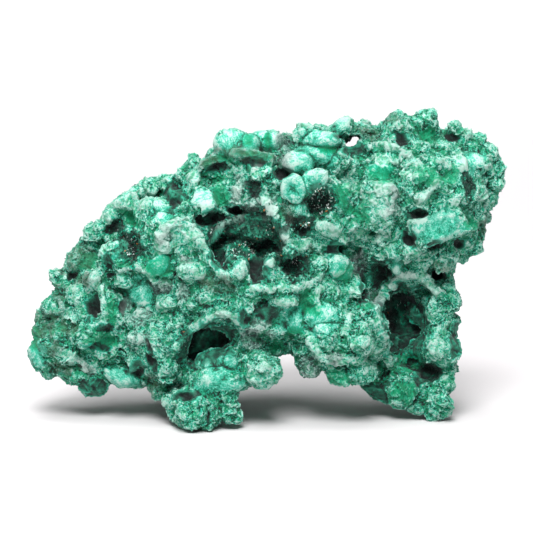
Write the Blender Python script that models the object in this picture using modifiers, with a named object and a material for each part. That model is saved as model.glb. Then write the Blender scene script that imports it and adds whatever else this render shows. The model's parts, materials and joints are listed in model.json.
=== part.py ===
"""A fibrous malachite specimen: one natural mass of botryoidal lumps, ledges and hollows.

The stone is 85 mm long and stands on three worn feet.  Its tables are read in millimetres from the
display side: how far ACROSS from the middle, how far UP, and how far to the FRONT of the middle plane.
+X runs to the right of the display side, +Y into the stone and +Z up.
"""

import math
import random

import bmesh
import bpy
from mathutils import Matrix, Vector
from mathutils.bvhtree import BVHTree

# ---------------------------------------------------------------- driving dimensions
LENGTH = 0.085                    # the stone from its tail to its head
UNIT = LENGTH / 85.0              # one unit of the tables below
TILT = math.radians(10.0)         # the display side is read from this far above level
FOOT_FRONT = 12.0                 # how far the left foot stands in front of the middle plane
FOOT_DROP = FOOT_FRONT * math.tan(TILT)

CORE_VOXEL = 0.75 * UNIT          # fineness of the fused masses
SKIN_VOXEL = 0.55 * UNIT          # fineness of the fused stone
FACES_WANTED = 9300               # triangles of the finished solid
SEED = 11

# ---------------------------------------------------------------- the masses under the crust
# (across, up, front, half across, half up, half deep, lean in degrees)
MASSES = [
    (-3.0, 27.0, -2.0, 21.0, 14.5, 15.0, 0),     # belly
    (5.0, 40.5, -3.0, 18.0, 9.6, 13.5, 0),       # shoulder
    (27.8, 42.2, -2.0, 12.2, 10.4, 11.0, 0),     # head
    (26.0, 34.2, -2.5, 11.6, 5.2, 10.0, 10),     # throat
    (-18.0, 34.4, -2.5, 15.5, 7.6, 12.5, 37),    # sloping flank
    (-29.0, 19.2, -1.0, 8.6, 8.8, 9.5, 0),       # tail
    (-29.5, 26.6, -1.5, 5.6, 5.4, 8.5, 30),      # root of the tail
    (-36.4, 15.4, 0.5, 3.6, 5.2, 6.0, 0),        # tip of the tail
    (-18.0, 16.0, 1.0, 8.0, 8.5, 10.5, 0),       # left haunch
    (-9.2, 9.6, 5.5, 5.6, 4.6, 6.5, 0),          # neck of the left foot
    (-11.4, 4.4, 10.5, 4.8, 3.0, 4.4, 0),        # left foot
    (-1.0, 11.5, 6.0, 3.2, 3.0, 6.0, 0),         # bolster of the underside
    (12.8, 17.4, 2.0, 9.4, 7.2, 11.0, 0),        # lower block
    (25.6, 19.5, -6.6, 7.0, 11.0, 7.0, 0),       # right leg
    (26.6, 28.6, -4.0, 6.4, 3.6, 7.5, 0),        # hip of the right leg
    (19.6, 24.6, -5.5, 4.2, 5.2, 5.5, 0),        # bridge behind the fissure
    (30.8, 16.5, 0.0, 2.8, 8.8, 5.0, 0),         # outer edge of the right leg
    (21.4, 13.0, -3.5, 4.4, 4.6, 6.0, 0),        # web between the leg and the block
    (26.6, 7.6, 0.0, 4.6, 2.6, 6.0, -15),        # ankle of the right leg
    (30.6, 4.8, 3.6, 2.2, 2.2, 3.2, 0),          # right foot
    (-3.2, 46.6, 0.0, 7.0, 4.4, 7.5, 0),         # crown
    (9.6, 47.4, -1.5, 9.0, 3.8, 8.0, 0),         # saddle beside the crown
    (23.6, 49.8, -2.0, 10.4, 3.4, 7.0, 0),       # ridge of the head
    (-13.6, 42.8, 0.0, 5.0, 2.8, 6.0, 25),       # peak of the slope
    (-13.0, 12.6, -10.0, 6.5, 5.0, 5.5, 0),      # haunch over the hind foot
    (-14.5, 7.0, -13.0, 3.8, 3.3, 4.0, 0),       # hind foot
    (2.0, 30.0, -14.0, 10.0, 8.0, 6.0, 0),       # back bulges
    (18.0, 38.0, -12.0, 7.5, 6.5, 5.0, 0),
    (-22.0, 25.0, -9.0, 7.5, 6.5, 5.0, 0),
    (27.0, 20.0, -10.0, 4.2, 5.5, 4.0, 0),
]

# ---------------------------------------------------------------- hollows let into the masses
# (across, up, half across, half up, depth, lean)
HOLLOWS = [
    (-3.8, 34.2, 7.0, 4.7, 9.0, 8),              # the great hollow under the crown
    (-5.0, 38.5, 2.3, 1.3, 9.0, 0),
    (-8.3, 30.6, 2.0, 2.2, 6.5, -40),
    (-1.0, 28.1, 2.7, 2.9, 5.0, 0),              # twin hollow below it
    (4.8, 28.4, 3.2, 2.7, 4.5, 0),
    (-24.3, 32.4, 2.7, 2.9, 4.5, 0),             # flank
    (-26.4, 36.2, 1.4, 1.2, 2.5, 0),
    (-22.9, 37.2, 2.0, 1.6, 2.6, -40),
    (-19.9, 34.3, 1.3, 1.0, 2.0, 0),
    (-28.0, 29.0, 1.0, 1.7, 2.5, 0),
    (-15.8, 43.2, 1.9, 1.4, 2.2, 0),
    (-10.3, 37.2, 3.2, 1.5, 3.0, 12),
    (-8.3, 45.8, 2.1, 1.0, 3.5, 8),              # slits under the crown
    (-1.9, 46.7, 2.2, 1.1, 3.5, 0),
    (3.0, 44.7, 1.8, 1.4, 5.0, 0),
    (9.6, 39.6, 3.7, 3.1, 3.2, 20),              # drusy recess of the shoulder
    (6.6, 35.4, 2.2, 2.0, 2.2, 0),
    (12.1, 32.3, 1.6, 2.1, 4.5, 0),
    (17.4, 37.0, 1.5, 2.0, 2.6, -40),
    (20.5, 28.4, 2.5, 3.1, 4.0, 0),
    (17.3, 23.8, 0.9, 2.9, 3.6, 5),
    (24.0, 51.0, 0.9, 1.6, 3.6, 35),             # pores of the head
    (26.8, 37.9, 1.9, 1.1, 3.6, 5),
    (24.9, 33.4, 1.5, 1.3, 3.2, -30),
    (29.3, 32.4, 1.8, 1.3, 3.2, 0),
    (34.6, 33.0, 1.6, 1.4, 2.0, 0),
    (29.9, 28.7, 3.0, 0.8, 3.4, 15),             # cleft between head and leg
    (30.6, 26.9, 1.7, 1.0, 5.0, 0),
    (24.6, 18.6, 4.0, 6.5, 8.0, 14),             # cavern of the leg
    (28.6, 9.6, 2.2, 2.3, 5.0, 30),
    (-10.3, 15.2, 5.4, 3.5, 6.5, 25),            # cave over the left foot
    (0.0, 21.2, 2.3, 2.2, 3.5, 0),
    (-4.0, 20.2, 1.1, 1.9, 3.5, 0),
    (-30.4, 21.3, 1.6, 2.1, 3.2, -20),           # tail
    (-28.8, 15.8, 2.6, 2.1, 3.6, 0),
    (-23.2, 10.4, 1.9, 1.7, 3.2, 0),
    (-20.2, 12.0, 1.0, 1.9, 2.6, 35),
    (-13.4, 21.6, 0.9, 1.0, 2.6, 0),
    (7.6, 12.6, 1.7, 2.2, 2.6, 0),
]
WINDOW = (15.6, 50.7, 1.7, 1.2, 35)              # the gap that goes right through under the ridge
BACK_HOLLOWS = [
    (6.0, 25.0, 3.9, 3.0, 4.6, 20),
    (-13.0, 33.0, 3.6, 2.6, 4.2, 40),
    (24.0, 40.0, 3.8, 2.8, 4.2, -15),
    (-27.0, 20.0, 2.6, 3.2, 3.6, 0),
    (9.0, 44.0, 2.8, 2.2, 3.6, 0),
    (28.0, 14.0, 2.2, 3.2, 3.2, 0),
    (-6.0, 20.0, 2.6, 2.0, 3.2, -30),
    (-4.0, 41.0, 3.0, 1.8, 3.6, 10),
    (16.0, 20.0, 2.4, 2.6, 3.2, 0),
]

# ---------------------------------------------------------------- lumps that make the outline
# (across, up, front, half across, half up, lean)
RIM_LUMPS = [
    (-39.8, 17.3, 1.0, 2.5, 3.0, 0),             # tail, going round by its underside
    (-39.3, 13.0, 2.0, 3.3, 3.2, 0),
    (-38.6, 10.6, 2.0, 2.1, 1.9, 0),
    (-34.4, 9.9, 3.0, 2.8, 2.4, 0),
    (-30.6, 7.7, 3.0, 2.7, 2.4, 0),
    (-25.4, 9.3, 4.0, 3.8, 2.1, -12),
    (-22.4, 8.8, 3.0, 1.8, 1.7, 0),
    (-19.3, 7.0, 6.0, 2.1, 2.2, 0),
    (-16.5, 5.2, 9.0, 1.9, 1.8, 0),
    (-13.2, 2.9, 11.0, 3.6, 3.2, 0),             # left foot
    (-10.4, 2.4, 12.5, 3.2, 2.6, 15),
    (-7.4, 3.7, 11.0, 2.7, 2.2, 0),
    (-8.2, 6.4, 11.0, 3.4, 1.6, -8),
    (-11.0, 8.4, 10.5, 2.8, 2.5, 20),
    (-6.6, 8.9, 10.5, 2.6, 2.6, 0),
    (-10.0, 11.6, 9.6, 2.4, 2.4, 0),
    (-6.4, 11.9, 9.8, 2.5, 2.7, 0),
    (-0.5, 10.6, 11.0, 3.5, 3.2, 0),             # underside
    (7.6, 11.4, 8.0, 2.6, 2.8, 0),
    (12.8, 9.4, 9.0, 2.4, 2.1, 0),
    (16.6, 9.8, 9.0, 3.2, 2.3, 0),
    (19.8, 6.5, 3.0, 3.4, 1.8, -32),
    (24.0, 6.8, 4.0, 3.6, 2.9, -25),             # right foot and leg
    (26.9, 3.9, 4.0, 2.0, 2.0, 0),
    (31.0, 3.9, 4.7, 2.5, 3.2, 0),
    (31.4, 7.0, 4.0, 2.4, 2.4, 0),
    (32.2, 10.3, 2.0, 1.7, 1.7, 0),
    (31.4, 14.2, 4.0, 3.7, 3.2, 0),
    (33.0, 17.4, 1.0, 2.0, 2.0, 0),
    (32.6, 19.4, 0.0, 1.8, 1.5, 0),
    (32.5, 22.9, 1.0, 2.4, 2.6, 0),
    (32.0, 25.9, 0.0, 2.0, 1.8, 0),
    (33.0, 29.4, -1.0, 1.2, 0.9, 20),            # head
    (35.2, 30.6, -1.0, 1.5, 1.4, 30),
    (36.8, 32.3, -1.0, 1.7, 1.8, 0),
    (37.2, 35.2, -1.0, 1.8, 1.9, 0),
    (38.2, 38.0, -1.0, 1.9, 2.0, 0),
    (39.6, 40.7, -1.0, 1.8, 1.7, 0),
    (41.2, 43.8, -1.0, 1.2, 1.1, 0),
    (40.4, 46.0, -1.0, 2.2, 2.3, 0),
    (39.4, 48.6, -1.0, 2.2, 2.2, 0),
    (36.9, 50.2, -2.0, 2.5, 2.1, 0),
    (34.2, 51.4, -2.0, 2.0, 1.8, 0),
    (33.6, 53.5, -1.0, 1.3, 1.4, 0),
    (31.2, 52.2, -2.0, 1.1, 1.1, 0),
    (28.4, 54.2, -1.0, 2.6, 2.9, 0),             # knobs along the ridge
    (23.2, 53.6, 0.0, 3.1, 2.9, 0),
    (25.2, 54.4, -1.0, 1.5, 1.4, 0),
    (18.0, 52.2, -1.0, 2.3, 2.1, 0),
    (13.9, 53.6, 2.0, 2.3, 1.6, 20),
    (16.2, 52.7, 0.5, 1.8, 1.0, 0),
    (11.6, 53.0, 1.0, 1.3, 1.0, 20),
    (9.2, 52.8, -1.0, 1.9, 1.2, 0),
    (9.3, 50.9, 5.0, 3.2, 1.5, -5),
    (12.9, 50.5, 4.0, 1.2, 0.9, -30),
    (6.4, 52.2, 0.0, 1.5, 1.5, 0),
    (4.4, 51.0, -1.0, 1.4, 1.4, 0),
    (2.6, 50.6, 0.0, 1.6, 1.6, 0),               # crown
    (0.7, 50.7, 2.0, 2.4, 2.4, 0),
    (-2.4, 50.2, 1.5, 2.2, 2.2, 0),
    (-5.2, 49.5, 2.0, 3.9, 3.1, 0),
    (-9.6, 46.0, 3.0, 2.1, 2.2, 0),
    (-13.0, 46.4, 2.0, 1.6, 2.3, 0),             # slope down to the tail
    (-14.6, 45.2, 2.0, 1.9, 1.8, 0),
    (-17.0, 43.4, 2.0, 1.9, 1.6, 30),
    (-21.6, 42.6, 1.0, 2.7, 1.7, 5),
    (-24.9, 39.9, 2.0, 2.4, 1.8, 30),
    (-27.4, 37.9, 2.0, 2.1, 1.9, 40),
    (-30.0, 34.6, 2.0, 2.2, 1.8, 0),
    (-31.3, 32.7, 1.0, 1.8, 1.8, 0),
    (-33.1, 30.2, 2.0, 2.6, 2.4, 30),
    (-35.7, 27.8, 1.0, 1.0, 1.0, 0),
    (-36.0, 25.5, 2.0, 2.2, 2.1, 40),
    (-38.0, 21.5, 2.0, 2.3, 2.2, 40),
    (-39.9, 19.6, 1.0, 2.0, 1.8, 40),
]

# ---------------------------------------------------------------- lumps seated on the display face
# (across, up, how far proud, half across, half up, lean)
FACE_LUMPS = [
    (-37.0, 20.6, 1.6, 1.9, 1.8, 0),             # tail
    (-33.4, 23.6, 1.8, 2.4, 2.2, 0),
    (-33.5, 16.3, 1.5, 1.8, 1.5, 30),
    (-30.5, 26.3, 1.6, 1.6, 1.8, 0),
    (-36.5, 16.3, 1.5, 1.7, 1.9, 0),
    (-36.0, 12.8, 1.6, 3.0, 1.6, -30),
    (-31.5, 11.5, 1.7, 3.4, 1.6, -35),
    (-30.3, 18.3, 1.6, 1.9, 1.2, 15),
    (-28.6, 22.3, 2.0, 1.1, 3.2, 10),
    (-26.8, 19.7, 1.2, 1.3, 2.4, 10),
    (-21.6, 24.4, 2.6, 3.2, 2.9, 0),             # haunch
    (-25.2, 26.1, 1.8, 1.5, 1.5, 0),
    (-23.0, 16.2, 2.2, 2.0, 1.7, 0),
    (-22.8, 19.3, 1.6, 2.2, 1.5, 30),
    (-17.3, 22.0, 1.8, 2.3, 2.0, 0),
    (-18.3, 25.6, 1.2, 1.8, 1.3, 0),
    (-16.6, 14.6, 1.5, 1.6, 1.8, 0),
    (-17.3, 10.6, 1.4, 2.0, 2.2, 0),
    (-14.6, 9.2, 1.4, 1.8, 1.2, 0),
    (-26.0, 28.8, 1.4, 1.8, 1.3, 0),             # flank
    (-28.8, 33.6, 1.6, 2.4, 1.2, 0),
    (-21.4, 33.2, 1.4, 0.9, 1.5, 0),
    (-18.6, 39.0, 1.8, 2.4, 1.7, -20),
    (-22.5, 40.6, 1.6, 2.4, 1.2, 20),
    (-19.3, 36.6, 1.2, 1.3, 1.2, 0),
    (-15.8, 41.3, 1.2, 1.7, 1.6, 0),
    (-12.6, 43.8, 1.4, 1.2, 1.8, 0),
    (-13.6, 39.2, 1.3, 2.4, 1.0, 10),
    (-18.6, 29.0, 1.6, 2.3, 2.3, 0),
    (-17.8, 32.8, 1.2, 1.6, 1.6, 0),
    (-12.7, 27.8, 2.2, 3.2, 2.2, -15),
    (-10.2, 41.0, 2.0, 2.6, 2.0, 20),            # under the crown
    (-6.6, 41.6, 1.4, 1.2, 1.9, 0),
    (-4.4, 42.0, 1.4, 1.3, 2.4, 0),
    (-1.9, 42.4, 1.6, 1.9, 2.2, 0),
    (-2.4, 39.8, 1.2, 1.8, 1.0, 0),
    (-7.5, 47.6, 1.6, 2.6, 1.3, 12),
    (-1.6, 48.6, 1.8, 2.6, 1.1, -8),
    (-3.4, 45.2, 1.2, 1.6, 1.0, 0),
    (0.6, 46.6, 1.2, 0.9, 1.6, 0),
    (2.5, 47.6, 1.8, 1.6, 2.4, 0),               # smooth bolsters of the shoulder
    (5.6, 47.0, 3.0, 2.6, 2.1, 20),
    (8.6, 48.4, 2.6, 3.2, 2.2, 0),
    (11.8, 47.6, 1.6, 2.0, 2.0, 0),
    (4.7, 42.1, 3.2, 2.0, 2.5, 0),
    (8.3, 43.2, 3.4, 2.3, 1.7, 38),
    (5.8, 38.8, 1.4, 0.9, 1.3, 0),
    (1.4, 43.0, 1.2, 1.2, 1.4, 0),
    (10.9, 35.6, 2.0, 2.6, 1.4, -10),            # middle
    (6.6, 32.6, 1.8, 1.9, 1.6, 0),
    (9.3, 32.4, 1.5, 1.4, 1.8, 0),
    (12.6, 28.8, 2.4, 2.2, 2.1, 0),
    (9.3, 29.0, 1.6, 1.7, 1.5, 0),
    (14.4, 36.2, 1.6, 1.6, 1.6, 0),
    (13.8, 39.8, 1.2, 1.2, 1.6, 0),
    (16.4, 33.3, 1.6, 2.2, 1.2, -20),
    (15.8, 45.6, 1.5, 1.7, 1.6, 0),
    (20.6, 46.4, 2.2, 3.2, 2.4, 0),              # head
    (24.8, 43.6, 1.8, 1.2, 2.4, 15),
    (27.0, 44.2, 1.4, 1.4, 1.4, 0),
    (30.5, 46.6, 1.5, 2.4, 1.6, 0),
    (33.5, 46.0, 1.6, 1.9, 2.2, 0),
    (37.0, 46.6, 1.6, 2.4, 2.0, -20),
    (31.6, 42.3, 1.5, 2.0, 1.5, 0),
    (32.3, 39.9, 1.4, 2.2, 1.2, 10),
    (35.1, 43.8, 1.2, 1.3, 1.5, 0),
    (35.6, 41.2, 1.2, 1.4, 1.8, 10),
    (37.8, 41.6, 1.5, 0.8, 1.9, 10),
    (27.4, 49.6, 1.5, 2.2, 1.4, 0),
    (31.8, 49.4, 1.5, 2.2, 1.2, -25),
    (20.6, 33.7, 1.5, 1.1, 1.1, 0),              # throat
    (22.6, 31.0, 1.4, 1.3, 1.2, 0),
    (25.6, 31.4, 1.6, 2.0, 1.2, -10),
    (23.2, 29.0, 1.3, 1.0, 1.9, 0),
    (20.6, 27.9, 2.6, 1.9, 2.3, 0),
    (31.7, 31.6, 1.3, 1.8, 1.2, 0),
    (28.2, 29.8, 1.3, 2.4, 0.9, 15),
    (10.8, 21.3, 1.8, 3.0, 2.4, 0),              # lower block
    (8.2, 23.3, 1.5, 1.6, 2.2, 20),
    (3.4, 22.8, 1.8, 2.6, 1.0, 10),
    (-0.9, 18.1, 1.4, 2.0, 1.3, -10),
    (1.9, 17.0, 1.8, 2.0, 1.7, -20),
    (5.7, 18.6, 2.2, 1.9, 2.9, 15),
    (-2.6, 15.6, 1.6, 2.2, 1.9, 0),
    (3.2, 14.4, 1.5, 1.8, 1.1, -25),
    (-5.0, 27.8, 1.8, 1.5, 2.2, 20),
    (0.8, 29.3, 2.0, 0.9, 1.5, 20),
    (-2.2, 28.0, 1.4, 1.2, 2.0, 0),
    (5.2, 28.6, 1.6, 2.1, 1.8, 0),
    (2.0, 24.8, 1.6, 2.6, 1.2, 8),
    (-2.2, 24.3, 1.4, 2.2, 1.2, 0),
    (6.5, 25.6, 1.5, 2.0, 1.2, 15),
    (-10.5, 23.6, 1.4, 2.6, 2.0, 0),
    (-15.4, 18.6, 1.4, 2.4, 1.8, 30),
    (-9.3, 20.8, 1.3, 2.0, 1.3, 20),
    (-0.2, 20.9, 2.2, 1.7, 1.5, 0),
    (-2.6, 35.4, 5.0, 5.2, 2.6, 8),              # drusy dome inside the great hollow
    (-5.2, 31.8, 3.0, 2.6, 0.9, -10),
    (24.4, 19.6, 2.0, 1.6, 3.4, 20),             # inside the cavern of the leg
    (26.2, 14.0, 2.2, 2.0, 1.8, 0),
    (30.0, 20.6, 1.5, 1.6, 2.0, 0),
]

# ---------------------------------------------------------------- flat faces: slabs and broken blocks
# (across, up, proud, half across, half up, half thick, lean, nod, turn)
SLABS = [
    (20.9, 39.8, 2.2, 3.7, 4.3, 2.0, -10, 12, -8),
    (30.4, 35.5, 2.0, 5.0, 2.1, 1.8, 17, -15, 12),
    (-14.2, 31.6, 1.6, 1.9, 3.2, 1.4, 4, 5, -12),
    (18.8, 26.4, 1.4, 1.7, 2.6, 0.9, -38, 0, 20),
]

# ---------------------------------------------------------------- broken chunks with a few faces
# (across, up, proud, half across, half up, half thick, lean, nod, turn)
CHUNKS = [
    (14.4, 24.6, 2.2, 3.6, 3.2, 2.6, -4, 20, -16),
    (10.8, 16.2, 2.2, 3.6, 3.6, 2.6, 20, -6, 10),
    (15.6, 16.0, 2.4, 3.8, 4.0, 2.8, -30, 10, -20),
    (18.6, 19.4, 1.8, 2.6, 3.6, 2.4, 10, 0, 30),
    (-37.4, 14.2, 1.2, 3.9, 3.9, 2.6, 10, 0, -30),
    (-23.8, 33.4, 2.6, 2.0, 2.8, 2.0, 5, 10, 15),
    (-17.8, 28.6, 1.8, 2.4, 2.6, 2.2, 0, 10, 10),
    (33.6, 42.6, 1.8, 3.0, 3.0, 2.2, 30, 15, 20),
    (27.4, 20.0, 2.0, 2.4, 2.6, 2.0, 25, 10, -20),
    (13.2, 40.2, 1.6, 2.2, 2.6, 2.0, 0, -10, 25),
]

# ---------------------------------------------------------------- thin rims and ledges
# (thickness, proud, [(across, up), ...])
RIDGES = [
    (0.95, 1.6, [(-18.8, 34.0), (-17.2, 35.8), (-14.9, 36.4), (-12.6, 34.8), (-10.8, 31.5),
                 (-9.2, 28.8), (-7.2, 27.0)]),
    (0.90, 1.4, [(-0.6, 41.4), (0.2, 39.2), (1.8, 36.8), (3.2, 34.8), (4.2, 32.8), (4.6, 31.2)]),
    (0.85, 1.6, [(21.2, 24.0), (19.6, 21.2), (19.8, 19.0), (20.6, 16.2), (21.0, 13.6), (22.2, 11.0)]),
    (0.90, 1.2, [(21.4, 24.4), (23.2, 26.2), (25.8, 27.4), (28.6, 26.4), (30.4, 23.6)]),
    (0.80, 1.6, [(7.2, 16.2), (8.8, 13.6), (10.6, 12.2), (13.8, 12.0), (16.6, 12.2), (18.8, 11.2)]),
    (0.75, 1.5, [(-1.6, 25.2), (2.2, 25.8), (5.8, 26.8), (9.6, 27.0), (14.6, 26.8)]),
    (0.60, 1.4, [(26.3, 41.1), (27.7, 40.7), (29.0, 41.6), (29.9, 43.9)]),
    (0.75, 1.4, [(-16.0, 14.2), (-13.6, 17.0), (-10.8, 19.0), (-8.2, 20.7), (-6.0, 20.5), (-3.8, 17.9)]),
    (0.60, 1.2, [(27.0, 27.8), (28.8, 29.6), (31.4, 30.4), (33.2, 30.0)]),
]

# Lumps grown over the rest of the stone: how many, and their smallest and largest half width.
CRUST = (380, 1.5, 3.3)


# ---------------------------------------------------------------- helpers
def spot(across, up, front):
    """The point at a place of the tables."""
    height = (up + front * math.sin(TILT)) / math.cos(TILT) - FOOT_DROP
    return Vector((across, -front, height)) * UNIT


def into_stone():
    """The direction in which the display side is read."""
    return Vector((0.0, math.cos(TILT), -math.sin(TILT)))


def seat(surface, across, up, side=1.0):
    """Where a line through this place first meets the surface, from the front, or from the back.

    A place just outside the surface takes the point of the surface nearest to it.
    """
    middle = spot(across, up, 0.0)
    hit = surface.ray_cast(middle - into_stone() * side * LENGTH, into_stone() * side)[0]
    return hit or surface.find_nearest(middle)[0]


def lean_matrix(lean, nod=0.0, turn=0.0):
    """Lean turns anticlockwise as seen from the display side; nod and turn face it up and aside."""
    return (
        Matrix.Rotation(math.radians(-lean), 4, "Y")
        @ Matrix.Rotation(math.radians(turn), 4, "Z")
        @ Matrix.Rotation(math.radians(nod), 4, "X")
    )


def shape_matrix(at, halves, turned):
    sizes = Matrix.Diagonal((halves[0] * UNIT, halves[1] * UNIT, halves[2] * UNIT, 1.0))
    return Matrix.Translation(at) @ turned @ sizes


def unit_solid(kind, fineness):
    """The points and faces of one solid that reaches 1 unit from its middle."""
    bm = bmesh.new()
    if kind == "ball":
        bmesh.ops.create_icosphere(bm, subdivisions=fineness, radius=1.0)
    else:
        bmesh.ops.create_cube(bm, size=2.0)
        bmesh.ops.bevel(bm, geom=list(bm.edges), offset=0.3, segments=2, affect="EDGES")
    bm.verts.ensure_lookup_table()
    points = [vert.co.copy() for vert in bm.verts]
    faces = [[vert.index for vert in face.verts] for face in bm.faces]
    bm.free()
    return points, faces


class Heap:
    """Shapes heaped into one mesh, to be fused later."""

    def __init__(self):
        self.solids = {}
        self.points = []
        self.faces = []

    def add(self, points, faces, matrix=None):
        first = len(self.points)
        self.points += [matrix @ point for point in points] if matrix else points
        self.faces += [[first + index for index in face] for face in faces]

    def put(self, kind, fineness, at, halves, turned):
        if (kind, fineness) not in self.solids:
            self.solids[kind, fineness] = unit_solid(kind, fineness)
        self.add(*self.solids[kind, fineness], shape_matrix(at, halves, turned))

    def ball(self, at, halves, turned, fineness=3):
        self.put("ball", fineness, at, halves, turned)

    def chunk(self, at, halves, turned):
        self.put("ball", 1, at, halves, turned)

    def block(self, at, halves, turned):
        self.put("block", 0, at, halves, turned)

    def thing(self, name):
        mesh = bpy.data.meshes.new(name)
        mesh.from_pydata(self.points, [], self.faces)
        thing = bpy.data.objects.new(name, mesh)
        bpy.context.scene.collection.objects.link(thing)
        return thing


def settle(thing):
    """Fixes an object's modifiers into its mesh."""
    graph = bpy.context.evaluated_depsgraph_get()
    done = bpy.data.meshes.new_from_object(thing.evaluated_get(graph))
    thing.modifiers.clear()
    thing.data = done


def fuse(thing, voxel):
    """Makes one closed skin over all the shapes in an object."""
    remesh = thing.modifiers.new("fuse", "REMESH")
    remesh.mode = "VOXEL"
    remesh.voxel_size = voxel
    settle(thing)


def cut(thing, cutter, solver="EXACT"):
    boolean = thing.modifiers.new("cut", "BOOLEAN")
    boolean.operation = "DIFFERENCE"
    boolean.solver = solver
    boolean.object = cutter
    settle(thing)
    bpy.data.objects.remove(cutter)


def surface_of(thing):
    graph = bpy.context.evaluated_depsgraph_get()
    return BVHTree.FromObject(thing, graph)


# ---------------------------------------------------------------- the stone, step by step
def core_mass():
    """The fused masses, before any crust has grown on them."""
    heap = Heap()
    for across, up, front, wide, tall, deep, lean in MASSES:
        heap.ball(spot(across, up, front), (wide, deep, tall), lean_matrix(lean), 4)
    core = heap.thing("core")
    fuse(core, CORE_VOXEL)
    return core


def carve_hollows(core):
    """Cuts the hollows of both sides out of the masses."""
    surface = surface_of(core)
    heap = Heap()
    for side, hollows in ((1.0, HOLLOWS), (-1.0, BACK_HOLLOWS)):
        for across, up, wide, tall, depth, lean in hollows:
            at = seat(surface, across, up, side)
            heap.ball(at, (wide, depth, tall), lean_matrix(lean))
    cutter = heap.thing("hollows")
    fuse(cutter, CORE_VOXEL / 2)
    cut(core, cutter)


def open_window(stone):
    """Cuts the one gap that shows daylight."""
    heap = Heap()
    across, up, wide, tall, lean = WINDOW
    turned = Matrix.Rotation(-TILT, 4, "X") @ lean_matrix(lean)
    heap.ball(spot(across, up, 0.0), (wide, LENGTH / UNIT, tall), turned)
    cut(stone, heap.thing("window"))


def outline_lumps(heap):
    for across, up, front, wide, tall, lean in RIM_LUMPS:
        deep = 0.6 * (wide + tall)
        heap.ball(spot(across, up, front), (wide, deep, tall), lean_matrix(lean))


def face_lumps(heap, surface):
    for across, up, proud, wide, tall, lean in FACE_LUMPS:
        deep = 0.5 * (wide + tall)
        at = seat(surface, across, up) + into_stone() * (deep - proud) * UNIT
        heap.ball(at, (wide, deep, tall), lean_matrix(lean))


def broken_faces(heap, surface):
    for table, place in ((SLABS, heap.block), (CHUNKS, heap.chunk)):
        for across, up, proud, wide, tall, thick, lean, nod, turn in table:
            at = seat(surface, across, up) + into_stone() * (thick - proud) * UNIT
            place(at, (wide, thick, tall), lean_matrix(lean, nod, turn))


def ridges(heap, surface):
    """Each rim is a string of overlapping balls along a line."""
    for thick, proud, line in RIDGES:
        places = [
            seat(surface, across, up) + into_stone() * (thick - proud) * UNIT for across, up in line
        ]
        for start, end in zip(places, places[1:]):
            steps = max(2, math.ceil((end - start).length / (0.6 * thick * UNIT)))
            for step in range(steps + 1):
                heap.ball(start.lerp(end, step / steps), (thick,) * 3, Matrix.Identity(4), 2)


def crust(heap, core):
    """Lumps of mixed size, grown at random places of the sides, the top and the back."""
    rng = random.Random(SEED)
    count, smallest, largest = CRUST
    free = [face for face in core.data.polygons if face.normal.dot(into_stone()) > -0.25]
    areas = [face.area for face in free]
    for face in rng.choices(free, weights=areas, k=count):
        size = smallest + (largest - smallest) * rng.random() ** 2
        halves = [size * rng.uniform(0.8, 1.25) for _ in range(3)]
        turned = Matrix.Rotation(rng.uniform(0.0, math.pi), 4, face.normal)
        at = face.center - face.normal * 0.4 * size * UNIT
        heap.ball(at, halves, turned)


def roughen(stone):
    """Pits and creases of the crust, at two sizes."""
    for name, kind, size, strength in (
        ("creases", "VORONOI", 3.2, 0.6),
        ("grain", "CLOUDS", 1.8, 0.35),
    ):
        texture = bpy.data.textures.new(name, kind)
        texture.noise_scale = size * UNIT
        displace = stone.modifiers.new(name, "DISPLACE")
        displace.texture = texture
        displace.strength = strength * UNIT
        displace.mid_level = 0.5
    settle(stone)


def thin_out(stone):
    stone.data.calc_loop_triangles()
    decimate = stone.modifiers.new("thin out", "DECIMATE")
    decimate.ratio = FACES_WANTED / len(stone.data.loop_triangles)
    decimate.use_collapse_triangulate = True
    settle(stone)


def mend(stone):
    """Closes the pin-prick flaws that thinning out can leave where two sheets nearly touch."""
    bm = bmesh.new()
    bm.from_mesh(stone.data)
    bmesh.ops.dissolve_degenerate(bm, dist=0.02 * UNIT, edges=bm.edges)
    for _ in range(8):
        flaws = {vert for edge in bm.edges if not edge.is_manifold for vert in edge.verts}
        flaws |= {vert for vert in bm.verts if not vert.is_manifold}
        if not flaws:
            break
        around = {face for vert in flaws for face in vert.link_faces}
        bmesh.ops.delete(bm, geom=list(around), context="FACES")
        loose = [vert for vert in bm.verts if not vert.link_faces]
        bmesh.ops.delete(bm, geom=loose, context="VERTS")
        rims = [edge for edge in bm.edges if edge.is_boundary]
        bmesh.ops.holes_fill(bm, edges=rims, sides=0)
    bmesh.ops.triangulate(bm, faces=bm.faces)
    bmesh.ops.recalc_face_normals(bm, faces=bm.faces)
    bm.to_mesh(stone.data)
    bm.free()


def untangle(stone):
    """Eases the few faces that pass through each other, by drawing their corners to their neighbours."""
    bm = bmesh.new()
    bm.from_mesh(stone.data)
    for _ in range(20):
        bm.faces.ensure_lookup_table()
        tree = BVHTree.FromBMesh(bm)
        corners = [set(face.verts) for face in bm.faces]
        pairs = [(one, two) for one, two in tree.overlap(tree) if not corners[one] & corners[two]]
        if not pairs:
            break
        tangled = {vert for pair in pairs for index in pair for vert in bm.faces[index].verts}
        means = {vert: sum((edge.other_vert(vert).co for edge in vert.link_edges), Vector()) for vert in tangled}
        for vert, total in means.items():
            vert.co = vert.co.lerp(total / len(vert.link_edges), 0.5)
    bm.to_mesh(stone.data)
    bm.free()


def wear_feet(stone):
    """Grinds the three feet flat on the plane that the stone stands on."""
    heap = Heap()
    half = LENGTH / UNIT
    heap.block((0.0, 0.0, -LENGTH), (half, half, half), Matrix.Identity(4))
    cut(stone, heap.thing("ground"))


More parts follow.
